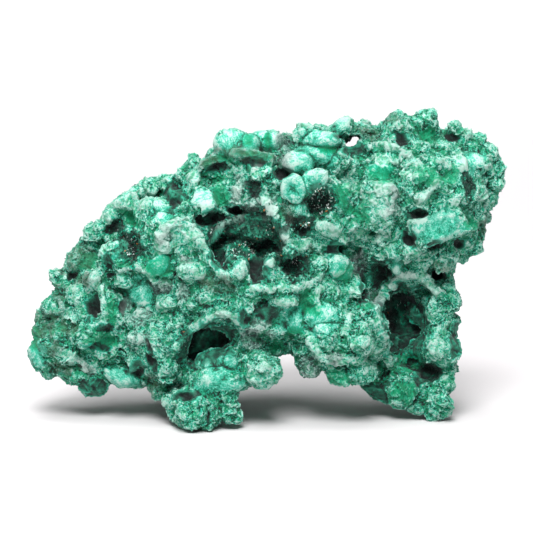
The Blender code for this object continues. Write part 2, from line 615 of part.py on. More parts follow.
def centre(stone):
    """Puts the origin under the middle of the stone."""
    xs = [vert.co.x for vert in stone.data.vertices]
    ys = [vert.co.y for vert in stone.data.vertices]
    middle = Vector(((min(xs) + max(xs)) / 2, (min(ys) + max(ys)) / 2, 0.0))
    stone.data.transform(Matrix.Translation(-middle))
    return middle


def malachite_material():
    material = bpy.data.materials.new("malachite")
    material.use_nodes = True
    shader = material.node_tree.nodes["Principled BSDF"]
    shader.inputs["Base Color"].default_value = (0.06, 0.33, 0.20, 1.0)
    shader.inputs["Roughness"].default_value = 0.62
    shader.inputs["Metallic"].default_value = 0.0
    return material


def main():
    for thing in list(bpy.data.objects):
        bpy.data.objects.remove(thing)
    core = core_mass()
    carve_hollows(core)
    surface = surface_of(core)
    heap = Heap()
    heap.add([vert.co for vert in core.data.vertices], [list(face.vertices) for face in core.data.polygons])
    outline_lumps(heap)
    face_lumps(heap, surface)
    broken_faces(heap, surface)
    ridges(heap, surface)
    crust(heap, core)
    stone = heap.thing("malachite")
    bpy.data.objects.remove(core)
    fuse(stone, SKIN_VOXEL)
    open_window(stone)
    roughen(stone)
    thin_out(stone)
    mend(stone)
    untangle(stone)
    wear_feet(stone)
    mend(stone)
    middle = centre(stone)
    print("middle of the stone in table units:", [round(value / UNIT, 3) for value in middle])
    stone.data.materials.append(malachite_material())
    stone.data.shade_smooth()
    collection = bpy.data.collections.new("malachite specimen")
    bpy.context.scene.collection.children.link(collection)
    collection.objects.link(stone)
    bpy.context.scene.collection.objects.unlink(stone)


main()
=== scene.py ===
# %% [markdown]
# # A hand-size mass of fibrous malachite
#
# Malachite grows in crusts of little round cushions, each a fan of silky fibres, and it often leaves
# hollows between them that are lined with a dark velvet of tiny crystals.  This specimen is 85 mm long and
# stands on three worn feet.  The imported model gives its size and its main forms.  Here it is grown again
# much more finely, sculpted in cells, and given a colour that depends on how each spot of the crust grew.

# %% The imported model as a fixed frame
import json
import math
import random

import bpy
import numpy as np
from mathutils import Matrix, Vector, noise
from mathutils.bvhtree import BVHTree
from mathutils.kdtree import KDTree

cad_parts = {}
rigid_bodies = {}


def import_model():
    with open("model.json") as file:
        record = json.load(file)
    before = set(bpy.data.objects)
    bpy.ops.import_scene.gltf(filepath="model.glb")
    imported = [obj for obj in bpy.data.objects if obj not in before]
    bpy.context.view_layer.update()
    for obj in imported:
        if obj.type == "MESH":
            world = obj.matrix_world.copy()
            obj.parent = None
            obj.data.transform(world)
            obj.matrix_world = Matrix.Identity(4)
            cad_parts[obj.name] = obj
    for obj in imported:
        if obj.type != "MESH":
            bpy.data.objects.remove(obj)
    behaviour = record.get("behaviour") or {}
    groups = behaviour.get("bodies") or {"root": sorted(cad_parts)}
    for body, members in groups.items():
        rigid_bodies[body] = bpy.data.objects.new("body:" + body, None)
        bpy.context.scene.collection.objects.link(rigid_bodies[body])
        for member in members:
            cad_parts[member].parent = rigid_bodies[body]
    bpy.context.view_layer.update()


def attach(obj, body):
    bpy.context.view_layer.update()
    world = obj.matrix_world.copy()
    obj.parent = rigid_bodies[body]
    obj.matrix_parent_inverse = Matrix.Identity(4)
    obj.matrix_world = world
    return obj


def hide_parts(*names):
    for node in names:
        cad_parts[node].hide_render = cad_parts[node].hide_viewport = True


for leftover in list(bpy.data.objects):
    bpy.data.objects.remove(leftover)
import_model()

# %% [markdown]
# The stone is read in millimetres from its display side: how far ACROSS from the middle, how far UP, and
# how far to the FRONT of the middle plane.  One small function turns such a reading into a place in metres.

# %% Places on the stone
MM = 0.001
TILT = math.radians(10.0)                        # the display side is read from this far above level
FOOT_DROP = 12.0 * math.tan(TILT)
MIDDLE = Vector((0.019, 2.547, 0.0))             # the middle of the readings, in the frame of the solid


def spot(across, up, front):
    height = (up + front * math.sin(TILT)) / math.cos(TILT) - FOOT_DROP
    return (Vector((across, -front, height)) - MIDDLE) * MM


def into_stone():
    return Vector((0.0, math.cos(TILT), -math.sin(TILT)))


def lean_matrix(lean, nod=0.0, turn=0.0):
    """Lean turns anticlockwise as seen from the display side; nod and turn face it up and aside."""
    return (
        Matrix.Rotation(math.radians(-lean), 4, "Y")
        @ Matrix.Rotation(math.radians(turn), 4, "Z")
        @ Matrix.Rotation(math.radians(nod), 4, "X")
    )

# %% [markdown]
# The forms of the stone, as read from it and measured.  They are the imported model's own lists: masses, the
# hollows in them, the cushions that make the outline and the face, broken slabs and chunks, and rims.  All
# in millimetres and degrees.

# %% The forms of the stone
# ---------------------------------------------------------------- the masses under the crust
# (across, up, front, half across, half up, half deep, lean in degrees)
MASSES = [
    (-3.0, 27.0, -2.0, 21.0, 14.5, 15.0, 0),     # belly
    (5.0, 40.5, -3.0, 18.0, 9.6, 13.5, 0),       # shoulder
    (27.8, 42.2, -2.0, 12.2, 10.4, 11.0, 0),     # head
    (26.0, 34.2, -2.5, 11.6, 5.2, 10.0, 10),     # throat
    (-18.0, 34.4, -2.5, 15.5, 7.6, 12.5, 37),    # sloping flank
    (-29.0, 19.2, -1.0, 8.6, 8.8, 9.5, 0),       # tail
    (-29.5, 26.6, -1.5, 5.6, 5.4, 8.5, 30),      # root of the tail
    (-36.4, 15.4, 0.5, 3.6, 5.2, 6.0, 0),        # tip of the tail
    (-18.0, 16.0, 1.0, 8.0, 8.5, 10.5, 0),       # left haunch
    (-9.2, 9.6, 5.5, 5.6, 4.6, 6.5, 0),          # neck of the left foot
    (-11.4, 4.4, 10.5, 4.8, 3.0, 4.4, 0),        # left foot
    (-1.0, 11.5, 6.0, 3.2, 3.0, 6.0, 0),         # bolster of the underside
    (12.8, 17.4, 2.0, 9.4, 7.2, 11.0, 0),        # lower block
    (25.6, 19.5, -6.6, 7.0, 11.0, 7.0, 0),       # right leg
    (26.6, 28.6, -4.0, 6.4, 3.6, 7.5, 0),        # hip of the right leg
    (19.6, 24.6, -5.5, 4.2, 5.2, 5.5, 0),        # bridge behind the fissure
    (30.8, 16.5, 0.0, 2.8, 8.8, 5.0, 0),         # outer edge of the right leg
    (21.4, 13.0, -3.5, 4.4, 4.6, 6.0, 0),        # web between the leg and the block
    (26.6, 7.6, 0.0, 4.6, 2.6, 6.0, -15),        # ankle of the right leg
    (30.6, 4.8, 3.6, 2.2, 2.2, 3.2, 0),          # right foot
    (-3.2, 46.6, 0.0, 7.0, 4.4, 7.5, 0),         # crown
    (9.6, 47.4, -1.5, 9.0, 3.8, 8.0, 0),         # saddle beside the crown
    (23.6, 49.8, -2.0, 10.4, 3.4, 7.0, 0),       # ridge of the head
    (-13.6, 42.8, 0.0, 5.0, 2.8, 6.0, 25),       # peak of the slope
    (-13.0, 12.6, -10.0, 6.5, 5.0, 5.5, 0),      # haunch over the hind foot
    (-14.5, 7.0, -13.0, 3.8, 3.3, 4.0, 0),       # hind foot
    (2.0, 30.0, -14.0, 10.0, 8.0, 6.0, 0),       # back bulges
    (18.0, 38.0, -12.0, 7.5, 6.5, 5.0, 0),
    (-22.0, 25.0, -9.0, 7.5, 6.5, 5.0, 0),
    (27.0, 20.0, -10.0, 4.2, 5.5, 4.0, 0),
]

# ---------------------------------------------------------------- hollows let into the masses
# (across, up, half across, half up, depth, lean)
HOLLOWS = [
    # the great hollow under the crown
    (-3.8, 34.2, 7.0, 4.7, 6.4, 8), (-5.0, 38.6, 2.0, 0.9, 4.5, -12), (-8.3, 30.6, 2.0, 2.2, 4.6, -40),
    # twin hollow below it
    (-1.2, 28.2, 2.6, 2.8, 4.2, 0), (4.9, 28.5, 3.0, 2.7, 3.8, 0),
    # flank
    (-24.3, 32.4, 2.7, 2.9, 4.5, 0), (-26.4, 36.2, 1.4, 1.2, 2.5, 0), (-22.9, 37.2, 2.0, 1.6, 2.6, -40),
    (-19.9, 34.3, 1.3, 1.0, 2.0, 0), (-28.0, 29.0, 1.2, 1.8, 1.6, 0), (-15.8, 43.2, 1.9, 1.4, 2.2, 0),
    (-10.3, 37.2, 3.2, 1.5, 3.0, 12),
    # slits under the crown
    (-8.3, 45.8, 2.1, 1.0, 3.5, 8), (-1.9, 46.7, 2.2, 1.1, 3.5, 0), (3.0, 44.7, 1.7, 1.2, 3.5, 0),
    # drusy recess of the shoulder
    (9.6, 39.6, 3.7, 3.1, 3.2, 20), (6.6, 35.4, 2.2, 2.0, 2.2, 0), (12.1, 32.3, 1.9, 2.4, 1.8, 0),
    (17.4, 37.0, 1.5, 2.0, 2.6, -40), (20.5, 28.4, 2.5, 3.1, 3.0, 0), (17.3, 23.8, 0.9, 2.9, 3.6, 5),
    # pores of the head
    (24.0, 51.0, 1.0, 1.7, 2.0, 35), (26.8, 37.9, 2.0, 1.0, 1.7, 5), (24.9, 33.4, 1.6, 1.0, 1.4, -30),
    (29.3, 32.4, 1.8, 1.3, 1.6, 0), (34.6, 33.0, 1.6, 1.4, 2.0, 0),
    # cleft between head and leg
    (29.9, 28.7, 3.0, 0.8, 3.4, 15), (30.6, 26.9, 1.7, 1.0, 5.0, 0),
    # cavern of the leg
    (24.6, 18.6, 4.0, 6.5, 6.4, 14), (28.6, 9.6, 2.2, 2.3, 3.0, 30),
    # cave over the left foot
    (-10.3, 15.2, 5.4, 3.5, 2.9, 25), (0.0, 21.2, 2.3, 2.2, 2.6, 0), (-4.0, 20.2, 1.3, 2.0, 1.3, 0),
    # tail
    (-30.4, 21.3, 1.5, 2.2, 1.4, -20), (-28.8, 15.8, 2.6, 2.1, 2.6, 0), (-23.2, 10.4, 1.9, 1.7, 2.2, 0),
    (-20.2, 12.0, 1.2, 2.0, 1.6, 35), (-13.4, 21.6, 1.0, 1.1, 1.4, 0), (7.6, 12.6, 1.7, 2.2, 2.6, 0),
]
WINDOW = (15.3, 50.8, 1.4, 0.8, 28)              # the gap that goes right through under the ridge
BACK_HOLLOWS = [
    (6.0, 25.0, 3.9, 3.0, 4.6, 20), (-13.0, 33.0, 3.6, 2.6, 4.2, 40), (24.0, 40.0, 3.8, 2.8, 4.2, -15),
    (-27.0, 20.0, 2.6, 3.2, 3.6, 0), (9.0, 44.0, 2.8, 2.2, 3.6, 0), (28.0, 14.0, 2.2, 3.2, 3.2, 0),
    (-6.0, 20.0, 2.6, 2.0, 3.2, -30), (-4.0, 41.0, 3.0, 1.8, 3.6, 10), (16.0, 20.0, 2.4, 2.6, 3.2, 0),
]

# ---------------------------------------------------------------- lumps that make the outline
# (across, up, front, half across, half up, lean)
RIM_LUMPS = [
    # tail, going round by its underside
    (-39.8, 17.3, 1.0, 2.5, 3.0, 0), (-39.3, 13.0, 2.0, 3.3, 3.2, 0), (-38.6, 10.6, 2.0, 2.1, 1.9, 0),
    (-34.4, 9.9, 3.0, 2.8, 2.4, 0), (-30.6, 7.7, 3.0, 2.7, 2.4, 0), (-25.4, 9.3, 4.0, 3.8, 2.1, -12),
    (-22.4, 8.8, 3.0, 1.8, 1.7, 0), (-19.3, 7.0, 6.0, 2.1, 2.2, 0), (-16.5, 5.2, 9.0, 1.9, 1.8, 0),
    # left foot
    (-13.2, 2.9, 11.0, 3.6, 3.2, 0), (-10.4, 2.4, 12.5, 3.2, 2.6, 15), (-7.4, 3.7, 11.0, 2.7, 2.2, 0),
    (-8.2, 6.4, 11.0, 3.4, 1.6, -8), (-11.0, 8.4, 10.5, 2.8, 2.5, 20), (-6.6, 8.9, 10.5, 2.6, 2.6, 0),
    (-10.0, 11.6, 9.6, 2.4, 2.4, 0), (-6.4, 11.9, 9.8, 2.5, 2.7, 0),
    # underside
    (-0.5, 10.6, 11.0, 3.5, 3.2, 0), (7.6, 11.4, 8.0, 2.6, 2.8, 0), (12.8, 9.4, 9.0, 2.4, 2.1, 0),
    (16.6, 9.8, 9.0, 3.2, 2.3, 0), (18.6, 9.2, 2.0, 2.6, 2.0, 0), (19.8, 6.5, 3.0, 3.4, 1.8, -32),
    # right foot and leg
    (24.0, 6.8, 4.0, 3.6, 2.9, -25), (26.9, 3.9, 4.0, 2.0, 2.0, 0), (31.0, 3.9, 4.7, 2.5, 3.2, 0),
    (31.4, 7.0, 4.0, 2.4, 2.4, 0), (32.2, 10.3, 2.0, 1.7, 1.7, 0), (31.4, 14.2, 4.0, 3.7, 3.2, 0),
    (33.0, 17.4, 1.0, 2.0, 2.0, 0), (32.6, 19.4, 0.0, 1.8, 1.5, 0), (32.5, 22.9, 1.0, 2.4, 2.6, 0),
    (32.0, 25.9, 0.0, 2.0, 1.8, 0),
    # head
    (33.0, 29.4, -1.0, 1.2, 0.9, 20), (35.2, 30.6, -1.0, 1.5, 1.4, 30), (36.8, 32.3, -1.0, 1.7, 1.8, 0),
    (37.2, 35.2, -1.0, 1.8, 1.9, 0), (38.2, 38.0, -1.0, 1.9, 2.0, 0), (40.0, 41.0, -1.0, 1.9, 1.9, 0),
    (40.9, 43.6, -1.0, 1.6, 1.6, 0), (40.4, 46.0, -1.0, 2.2, 2.3, 0), (39.4, 48.6, -1.0, 2.2, 2.2, 0),
    (36.9, 50.2, -2.0, 2.5, 2.1, 0), (34.2, 51.4, -2.0, 2.0, 1.8, 0), (33.6, 53.5, -1.0, 1.3, 1.4, 0),
    (31.2, 52.2, -2.0, 1.1, 1.1, 0),
    # knobs along the ridge
    (28.4, 54.2, -1.0, 2.6, 2.9, 0), (23.2, 53.6, 0.0, 3.1, 2.9, 0), (25.2, 54.4, -1.0, 1.5, 1.4, 0),
    (18.0, 52.2, -1.0, 2.3, 2.1, 0), (13.9, 53.6, 2.0, 2.3, 1.6, 20), (16.2, 52.7, 0.5, 1.8, 1.0, 0),
    (11.6, 53.0, 1.0, 1.3, 1.0, 20), (9.2, 52.8, -1.0, 1.9, 1.2, 0), (9.6, 51.0, 5.5, 3.8, 1.7, -5),
    (12.9, 50.5, 4.0, 1.2, 0.9, -30), (6.4, 52.2, 0.0, 1.5, 1.5, 0), (4.4, 51.0, -1.0, 1.4, 1.4, 0),
    # crown
    (2.6, 50.6, 0.0, 1.6, 1.6, 0), (0.7, 50.7, 2.0, 2.4, 2.4, 0), (-2.4, 50.2, 1.5, 2.2, 2.2, 0),
    (-5.2, 49.5, 2.0, 3.9, 3.1, 0), (-9.6, 46.0, 3.0, 2.1, 2.2, 0),
    # slope down to the tail
    (-13.0, 46.4, 2.0, 1.6, 2.3, 0), (-14.6, 45.2, 2.0, 1.9, 1.8, 0), (-17.0, 43.4, 2.0, 1.9, 1.6, 30),
    (-21.6, 42.6, 1.0, 2.7, 1.7, 5), (-24.9, 39.9, 2.0, 2.4, 1.8, 30), (-27.4, 37.9, 2.0, 2.1, 1.9, 40),
    (-30.0, 34.6, 2.0, 2.2, 1.8, 0), (-28.0, 34.8, -2.0, 3.0, 2.4, 40), (-31.3, 32.7, 1.0, 1.8, 1.8, 0),
    (-33.1, 30.2, 2.0, 2.6, 2.4, 30), (-35.7, 27.8, 1.0, 1.0, 1.0, 0), (-36.0, 25.5, 2.0, 2.2, 2.1, 40),
    (-38.0, 21.5, 2.0, 2.3, 2.2, 40), (-39.9, 19.6, 1.0, 2.0, 1.8, 40),
]

# ---------------------------------------------------------------- lumps seated on the display face
# (across, up, how far proud, half across, half up, lean)
FACE_LUMPS = [
    # tail
    (-37.0, 20.6, 1.6, 1.9, 1.8, 0), (-33.4, 23.6, 1.8, 2.4, 2.2, 0), (-33.5, 16.3, 1.5, 1.8, 1.5, 30),
    (-30.5, 26.3, 1.6, 1.6, 1.8, 0), (-36.5, 16.3, 1.5, 1.7, 1.9, 0), (-36.0, 12.8, 1.6, 3.0, 1.6, -30),
    (-31.5, 11.5, 1.7, 3.4, 1.6, -35), (-30.3, 18.3, 1.6, 1.9, 1.2, 15), (-28.6, 22.3, 2.0, 1.1, 3.2, 10),
    (-26.8, 19.7, 1.2, 1.3, 2.4, 10),
    # haunch
    (-21.6, 24.4, 2.6, 3.2, 2.9, 0), (-25.2, 26.1, 1.8, 1.5, 1.5, 0), (-23.0, 16.2, 2.2, 2.0, 1.7, 0),
    (-22.8, 19.3, 1.6, 2.2, 1.5, 30), (-17.3, 22.0, 1.8, 2.3, 2.0, 0), (-18.3, 25.6, 1.2, 1.8, 1.3, 0),
    (-16.6, 14.6, 1.5, 1.6, 1.8, 0), (-17.3, 10.6, 1.4, 2.0, 2.2, 0), (-14.6, 9.2, 1.4, 1.8, 1.2, 0),
    # flank
    (-26.0, 28.8, 1.4, 1.8, 1.3, 0), (-28.8, 33.6, 1.6, 2.4, 1.2, 0), (-21.4, 33.2, 1.4, 0.9, 1.5, 0),
    (-18.6, 39.0, 1.8, 2.4, 1.7, -20), (-22.5, 40.6, 1.6, 2.4, 1.2, 20), (-19.3, 36.6, 1.2, 1.3, 1.2, 0),
    (-15.8, 41.3, 1.2, 1.7, 1.6, 0), (-12.6, 43.8, 1.4, 1.2, 1.8, 0), (-13.6, 39.2, 1.3, 2.4, 1.0, 10),
    (-18.6, 29.0, 1.6, 2.3, 2.3, 0), (-17.8, 32.8, 1.2, 1.6, 1.6, 0), (-12.7, 27.8, 2.2, 3.2, 2.2, -15),
    # under the crown
    (-10.2, 41.0, 2.0, 2.6, 2.0, 20), (-6.6, 41.6, 1.4, 1.2, 1.9, 0), (-4.4, 42.0, 1.4, 1.3, 2.4, 0),
    (-2.4, 39.8, 1.2, 1.8, 1.0, 0),
    # crown
    (-6.0, 50.1, 4.4, 3.5, 2.8, -8), (-3.0, 50.0, 3.6, 1.8, 2.0, 0), (-0.4, 50.8, 4.4, 3.0, 2.4, 0),
    (-3.4, 45.2, 1.2, 1.6, 1.0, 0), (0.6, 46.6, 1.2, 0.9, 1.6, 0),
    # smooth bolsters of the shoulder
    (2.8, 48.0, 1.8, 1.7, 2.2, 0), (5.8, 46.9, 4.2, 3.3, 2.2, 12), (8.6, 48.2, 3.6, 4.0, 2.6, 0),
    (12.0, 47.0, 2.4, 2.2, 2.2, 0), (5.8, 38.8, 1.4, 0.9, 1.3, 0), (1.4, 43.0, 1.2, 1.2, 1.4, 0),
    # middle
    (10.9, 35.6, 2.0, 2.6, 1.4, -10), (6.6, 32.6, 1.8, 1.9, 1.6, 0), (9.3, 32.4, 1.5, 1.4, 1.8, 0),
    (12.6, 28.8, 2.4, 2.2, 2.1, 0), (9.3, 29.0, 1.6, 1.7, 1.5, 0), (14.4, 36.2, 1.6, 1.6, 1.6, 0),
    (13.8, 39.8, 1.2, 1.2, 1.6, 0), (16.4, 33.3, 1.6, 2.2, 1.2, -20), (15.8, 45.6, 1.5, 1.7, 1.6, 0),
    (24.8, 43.6, 1.8, 1.2, 2.4, 15), (27.0, 44.2, 1.4, 1.4, 1.4, 0), (30.5, 46.6, 1.5, 2.4, 1.6, 0),
    (33.5, 46.0, 1.6, 1.9, 2.2, 0), (37.0, 46.6, 1.6, 2.4, 2.0, -20), (31.6, 42.3, 1.5, 2.0, 1.5, 0),
    (32.3, 39.9, 1.4, 2.2, 1.2, 10), (35.1, 43.8, 1.2, 1.3, 1.5, 0), (35.6, 41.2, 1.2, 1.4, 1.8, 10),
    (37.8, 41.6, 1.5, 0.8, 1.9, 10), (27.4, 49.6, 1.5, 2.2, 1.4, 0), (31.8, 49.4, 1.5, 2.2, 1.2, -25),
    # throat
    (20.6, 33.7, 1.5, 1.1, 1.1, 0), (22.6, 31.0, 1.4, 1.3, 1.2, 0), (25.6, 31.4, 1.6, 2.0, 1.2, -10),
    (23.2, 29.0, 1.3, 1.0, 1.9, 0), (20.6, 27.9, 2.6, 1.9, 2.3, 0), (31.7, 31.6, 1.3, 1.8, 1.2, 0),
    (28.2, 29.8, 1.3, 2.4, 0.9, 15),
    # lower block
    (10.8, 21.3, 1.8, 3.0, 2.4, 0), (8.2, 23.3, 1.5, 1.6, 2.2, 20), (3.4, 22.8, 1.8, 2.6, 1.0, 10),
    (-0.9, 18.1, 1.4, 2.0, 1.3, -10), (1.9, 17.0, 1.8, 2.0, 1.7, -20), (5.7, 18.6, 2.2, 1.9, 2.9, 15),
    (-2.6, 15.6, 1.6, 2.2, 1.9, 0), (3.2, 14.4, 1.5, 1.8, 1.1, -25), (-5.0, 27.8, 1.8, 1.5, 2.2, 20),
    (0.8, 29.3, 2.0, 0.9, 1.5, 20), (2.0, 24.8, 1.6, 2.6, 1.2, 8), (-2.2, 24.3, 1.4, 2.2, 1.2, 0),
    (6.5, 25.6, 1.5, 2.0, 1.2, 15), (-10.5, 23.6, 1.4, 2.6, 2.0, 0), (-15.4, 18.6, 1.4, 2.4, 1.8, 30),
    (-9.3, 20.8, 1.3, 2.0, 1.3, 20), (-0.2, 20.9, 2.2, 1.7, 1.5, 0),
    # drusy dome inside the great hollow
    (-2.6, 35.4, 5.0, 5.2, 2.6, 8), (-5.2, 31.8, 3.0, 2.6, 0.9, -10),
    # inside the cave over the left foot
    (-10.8, 15.6, 2.4, 4.6, 2.8, 25), (-7.4, 14.6, 1.8, 2.0, 2.2, 0),
    # inside the cavern of the leg
    (24.4, 19.6, 2.0, 1.6, 3.4, 20), (26.2, 14.0, 2.2, 2.0, 1.8, 0), (30.0, 20.6, 1.5, 1.6, 2.0, 0),
]

# ---------------------------------------------------------------- flat faces: slabs and broken blocks
# (across, up, proud, half across, half up, half thick, lean, nod, turn)
SLABS = [
    (20.0, 39.5, 3.2, 3.0, 4.5, 2.4, -8, 10, -14), (30.4, 35.5, 3.0, 5.0, 2.4, 2.4, 17, -4, 8),
    (-14.2, 31.6, 1.6, 1.9, 3.2, 1.4, 4, 5, -12), (18.8, 26.4, 1.4, 1.7, 2.6, 0.9, -38, 0, 20),
    # dark ledges under the crown
    (-8.8, 47.0, 2.4, 3.2, 1.0, 1.4, 14, -25, 0), (-2.6, 48.0, 2.8, 3.8, 0.9, 1.5, -6, -25, 0),
    (-9.6, 38.0, 1.8, 3.4, 0.8, 1.2, 10, -20, 0),
]

# ---------------------------------------------------------------- pressed dishes with a raised rim
# (across, up, proud, half across, half up, half thick, lean, nod, turn)
DISHES = [
    # the two wings under the shoulder
    (4.7, 42.4, 4.6, 2.3, 2.8, 1.7, 15, 0, 10), (8.3, 43.6, 4.6, 2.8, 2.0, 1.6, 40, 0, -10),
    (-7.6, 41.4, 1.9, 1.6, 2.1, 1.6, 0, 0, 0), (13.4, 40.8, 1.7, 1.9, 2.3, 1.7, 0, 0, 15),
    (34.3, 32.7, 1.8, 1.7, 1.5, 1.5, 0, 0, 20), (-24.0, 37.6, 1.6, 2.3, 1.4, 1.5, -40, -10, 0),
    (7.6, 10.4, 2.0, 2.2, 2.2, 1.8, 0, 10, 0), (13.3, 28.2, 2.4, 2.1, 1.9, 1.8, 0, 10, 0),
    (-13.9, 5.8, 1.6, 2.8, 1.6, 1.6, 0, -10, 0), (13.7, 53.6, 3.4, 2.2, 1.5, 1.6, 20, 10, 0),
    (-17.4, 34.2, 1.3, 1.5, 1.3, 1.2, 0, 0, 0), (-29.2, 16.0, 1.4, 2.4, 2.0, 1.5, 20, 10, 0),
    (18.4, 10.6, 1.9, 2.1, 1.6, 1.5, 0, 0, 0), (-6.4, 14.0, 1.6, 1.6, 1.2, 1.2, 20, 0, 0),
    (28.5, 44.4, 1.5, 1.8, 1.9, 1.5, 0, 0, 0), (36.2, 36.4, 1.4, 1.7, 1.5, 1.4, 0, 0, 20),
]

# ---------------------------------------------------------------- low domes creased into lobes
ROSETTES = [
    (-8.4, 8.2, 3.0, 4.6, 2.8, 2.6, 0, 0, 0), (-8.0, 11.8, 2.4, 3.2, 2.8, 2.4, 160, 0, 0),
    (-1.0, 9.8, 2.4, 3.0, 3.0, 2.4, 60, 0, 0), (10.2, 18.9, 2.0, 3.6, 3.4, 2.2, 0, 10, 0),
    (10.6, 23.4, 1.8, 2.6, 2.6, 1.9, 90, 10, 0), (-12.4, 2.9, 3.0, 3.6, 3.0, 2.4, 180, 0, 0),
    (-22.4, 16.1, 2.0, 2.1, 2.0, 1.6, 0, 0, 0), (-10.6, 40.6, 2.0, 2.6, 2.2, 1.8, 200, 0, 0),
    (-2.0, 42.3, 1.7, 2.0, 2.3, 1.6, 180, 0, 0), (20.5, 45.2, 2.4, 2.9, 2.6, 2.4, 20, 10, 0),
    (24.6, 6.6, 2.4, 2.6, 2.4, 2.0, 0, 0, 0), (30.4, 14.8, 2.2, 2.8, 2.8, 2.2, 30, 0, 0),
]

# ---------------------------------------------------------------- broken chunks with a few faces
# (across, up, proud, half across, half up, half thick, lean, nod, turn)
CHUNKS = [
    (14.4, 24.6, 2.2, 3.6, 3.2, 2.6, -4, 20, -16), (10.8, 16.2, 2.2, 3.6, 3.6, 2.6, 20, -6, 10),
    (15.6, 16.0, 2.4, 3.8, 4.0, 2.8, -30, 10, -20), (18.6, 19.4, 1.8, 2.6, 3.6, 2.4, 10, 0, 30),
    (-37.4, 14.2, 1.2, 3.9, 3.9, 2.6, 10, 0, -30), (-23.8, 33.4, 2.6, 2.0, 2.8, 2.0, 5, 10, 15),
    (-17.8, 28.6, 1.8, 2.4, 2.6, 2.2, 0, 10, 10), (33.6, 42.6, 1.8, 3.0, 3.0, 2.2, 30, 15, 20),
    (27.4, 20.0, 2.0, 2.4, 2.6, 2.0, 25, 10, -20), (13.2, 40.2, 1.6, 2.2, 2.6, 2.0, 0, -10, 25),
]

# ---------------------------------------------------------------- thin rims and ledges
# (thickness, proud, [(across, up), ...])
RIDGES = [
    (0.95, 2.2, [(-18.8, 34.0), (-17.2, 35.8), (-14.9, 36.4), (-12.6, 34.8), (-10.8, 31.5),
                 (-9.2, 28.8), (-7.2, 27.0)]),
    (0.90, 2.0, [(-0.6, 41.4), (0.2, 39.2), (1.8, 36.8), (3.2, 34.8), (4.2, 32.8), (4.6, 31.2)]),
    (0.85, 2.2, [(21.2, 24.0), (19.6, 21.2), (19.8, 19.0), (20.6, 16.2), (21.0, 13.6), (22.2, 11.0)]),
    (0.90, 1.8, [(21.4, 24.4), (23.2, 26.2), (25.8, 27.4), (28.6, 26.4), (30.4, 23.6)]),
    (0.80, 2.2, [(7.2, 16.2), (8.8, 13.6), (10.6, 12.2), (13.8, 12.0), (16.6, 12.2), (18.8, 11.2)]),
    (0.65, 1.6, [(-2.6, 24.8), (0.8, 24.6), (4.2, 25.0), (7.6, 25.8), (9.6, 27.0)]),
    (0.60, 1.4, [(26.3, 41.1), (27.7, 40.7), (29.0, 41.6), (29.9, 43.9)]),
    (0.75, 2.2, [(-16.0, 14.2), (-13.6, 17.0), (-10.8, 19.0), (-8.2, 20.7), (-6.0, 20.5), (-3.8, 17.9)]),
    (0.60, 1.2, [(27.0, 27.8), (28.8, 29.6), (31.4, 30.4), (33.2, 30.0)]),
    (0.80, 2.6, [(-9.3, 33.5), (-7.5, 36.0), (-4.0, 37.5), (0.0, 37.2), (2.3, 35.0)]),
    (0.70, 1.6, [(-28.4, 18.5), (-28.6, 21.5), (-28.8, 24.8)]),
    (0.70, 1.5, [(-38.0, 14.5), (-35.4, 12.8), (-33.4, 11.9), (-30.2, 10.5)]),
    (0.65, 1.6, [(17.8, 47.2), (19.2, 48.2), (21.2, 48.1), (22.9, 46.9)]),
    (0.60, 1.4, [(17.0, 49.4), (20.0, 50.2), (23.0, 49.2), (25.2, 48.2)]),
    (0.50, 1.4, [(38.6, 46.6), (39.9, 45.9), (40.4, 44.9)]),
    (0.60, 1.4, [(14.8, 34.0), (16.6, 34.5), (18.4, 34.2), (19.6, 33.2)]),
    (0.55, 1.3, [(-26.0, 27.6), (-23.2, 28.8), (-20.8, 27.6), (-19.4, 25.6)]),
    (0.60, 1.3, [(8.4, 26.6), (9.6, 24.6), (8.8, 22.6), (9.4, 20.6)]),
    (0.55, 1.3, [(13.0, 22.0), (14.6, 19.8), (14.2, 17.2), (15.6, 14.6)]),
    (0.55, 1.3, [(29.8, 46.8), (32.2, 47.8), (34.4, 47.2), (35.0, 45.6)]),
]

# Lumps grown over the rest of the stone: how many, and their smallest and largest half width.
CRUST = (380, 1.5, 3.3)

# Thin blades, knobs and small grains scattered over everything that isn't smooth.
BLADES = 160
KNOBS = 110
GRAINS = 560
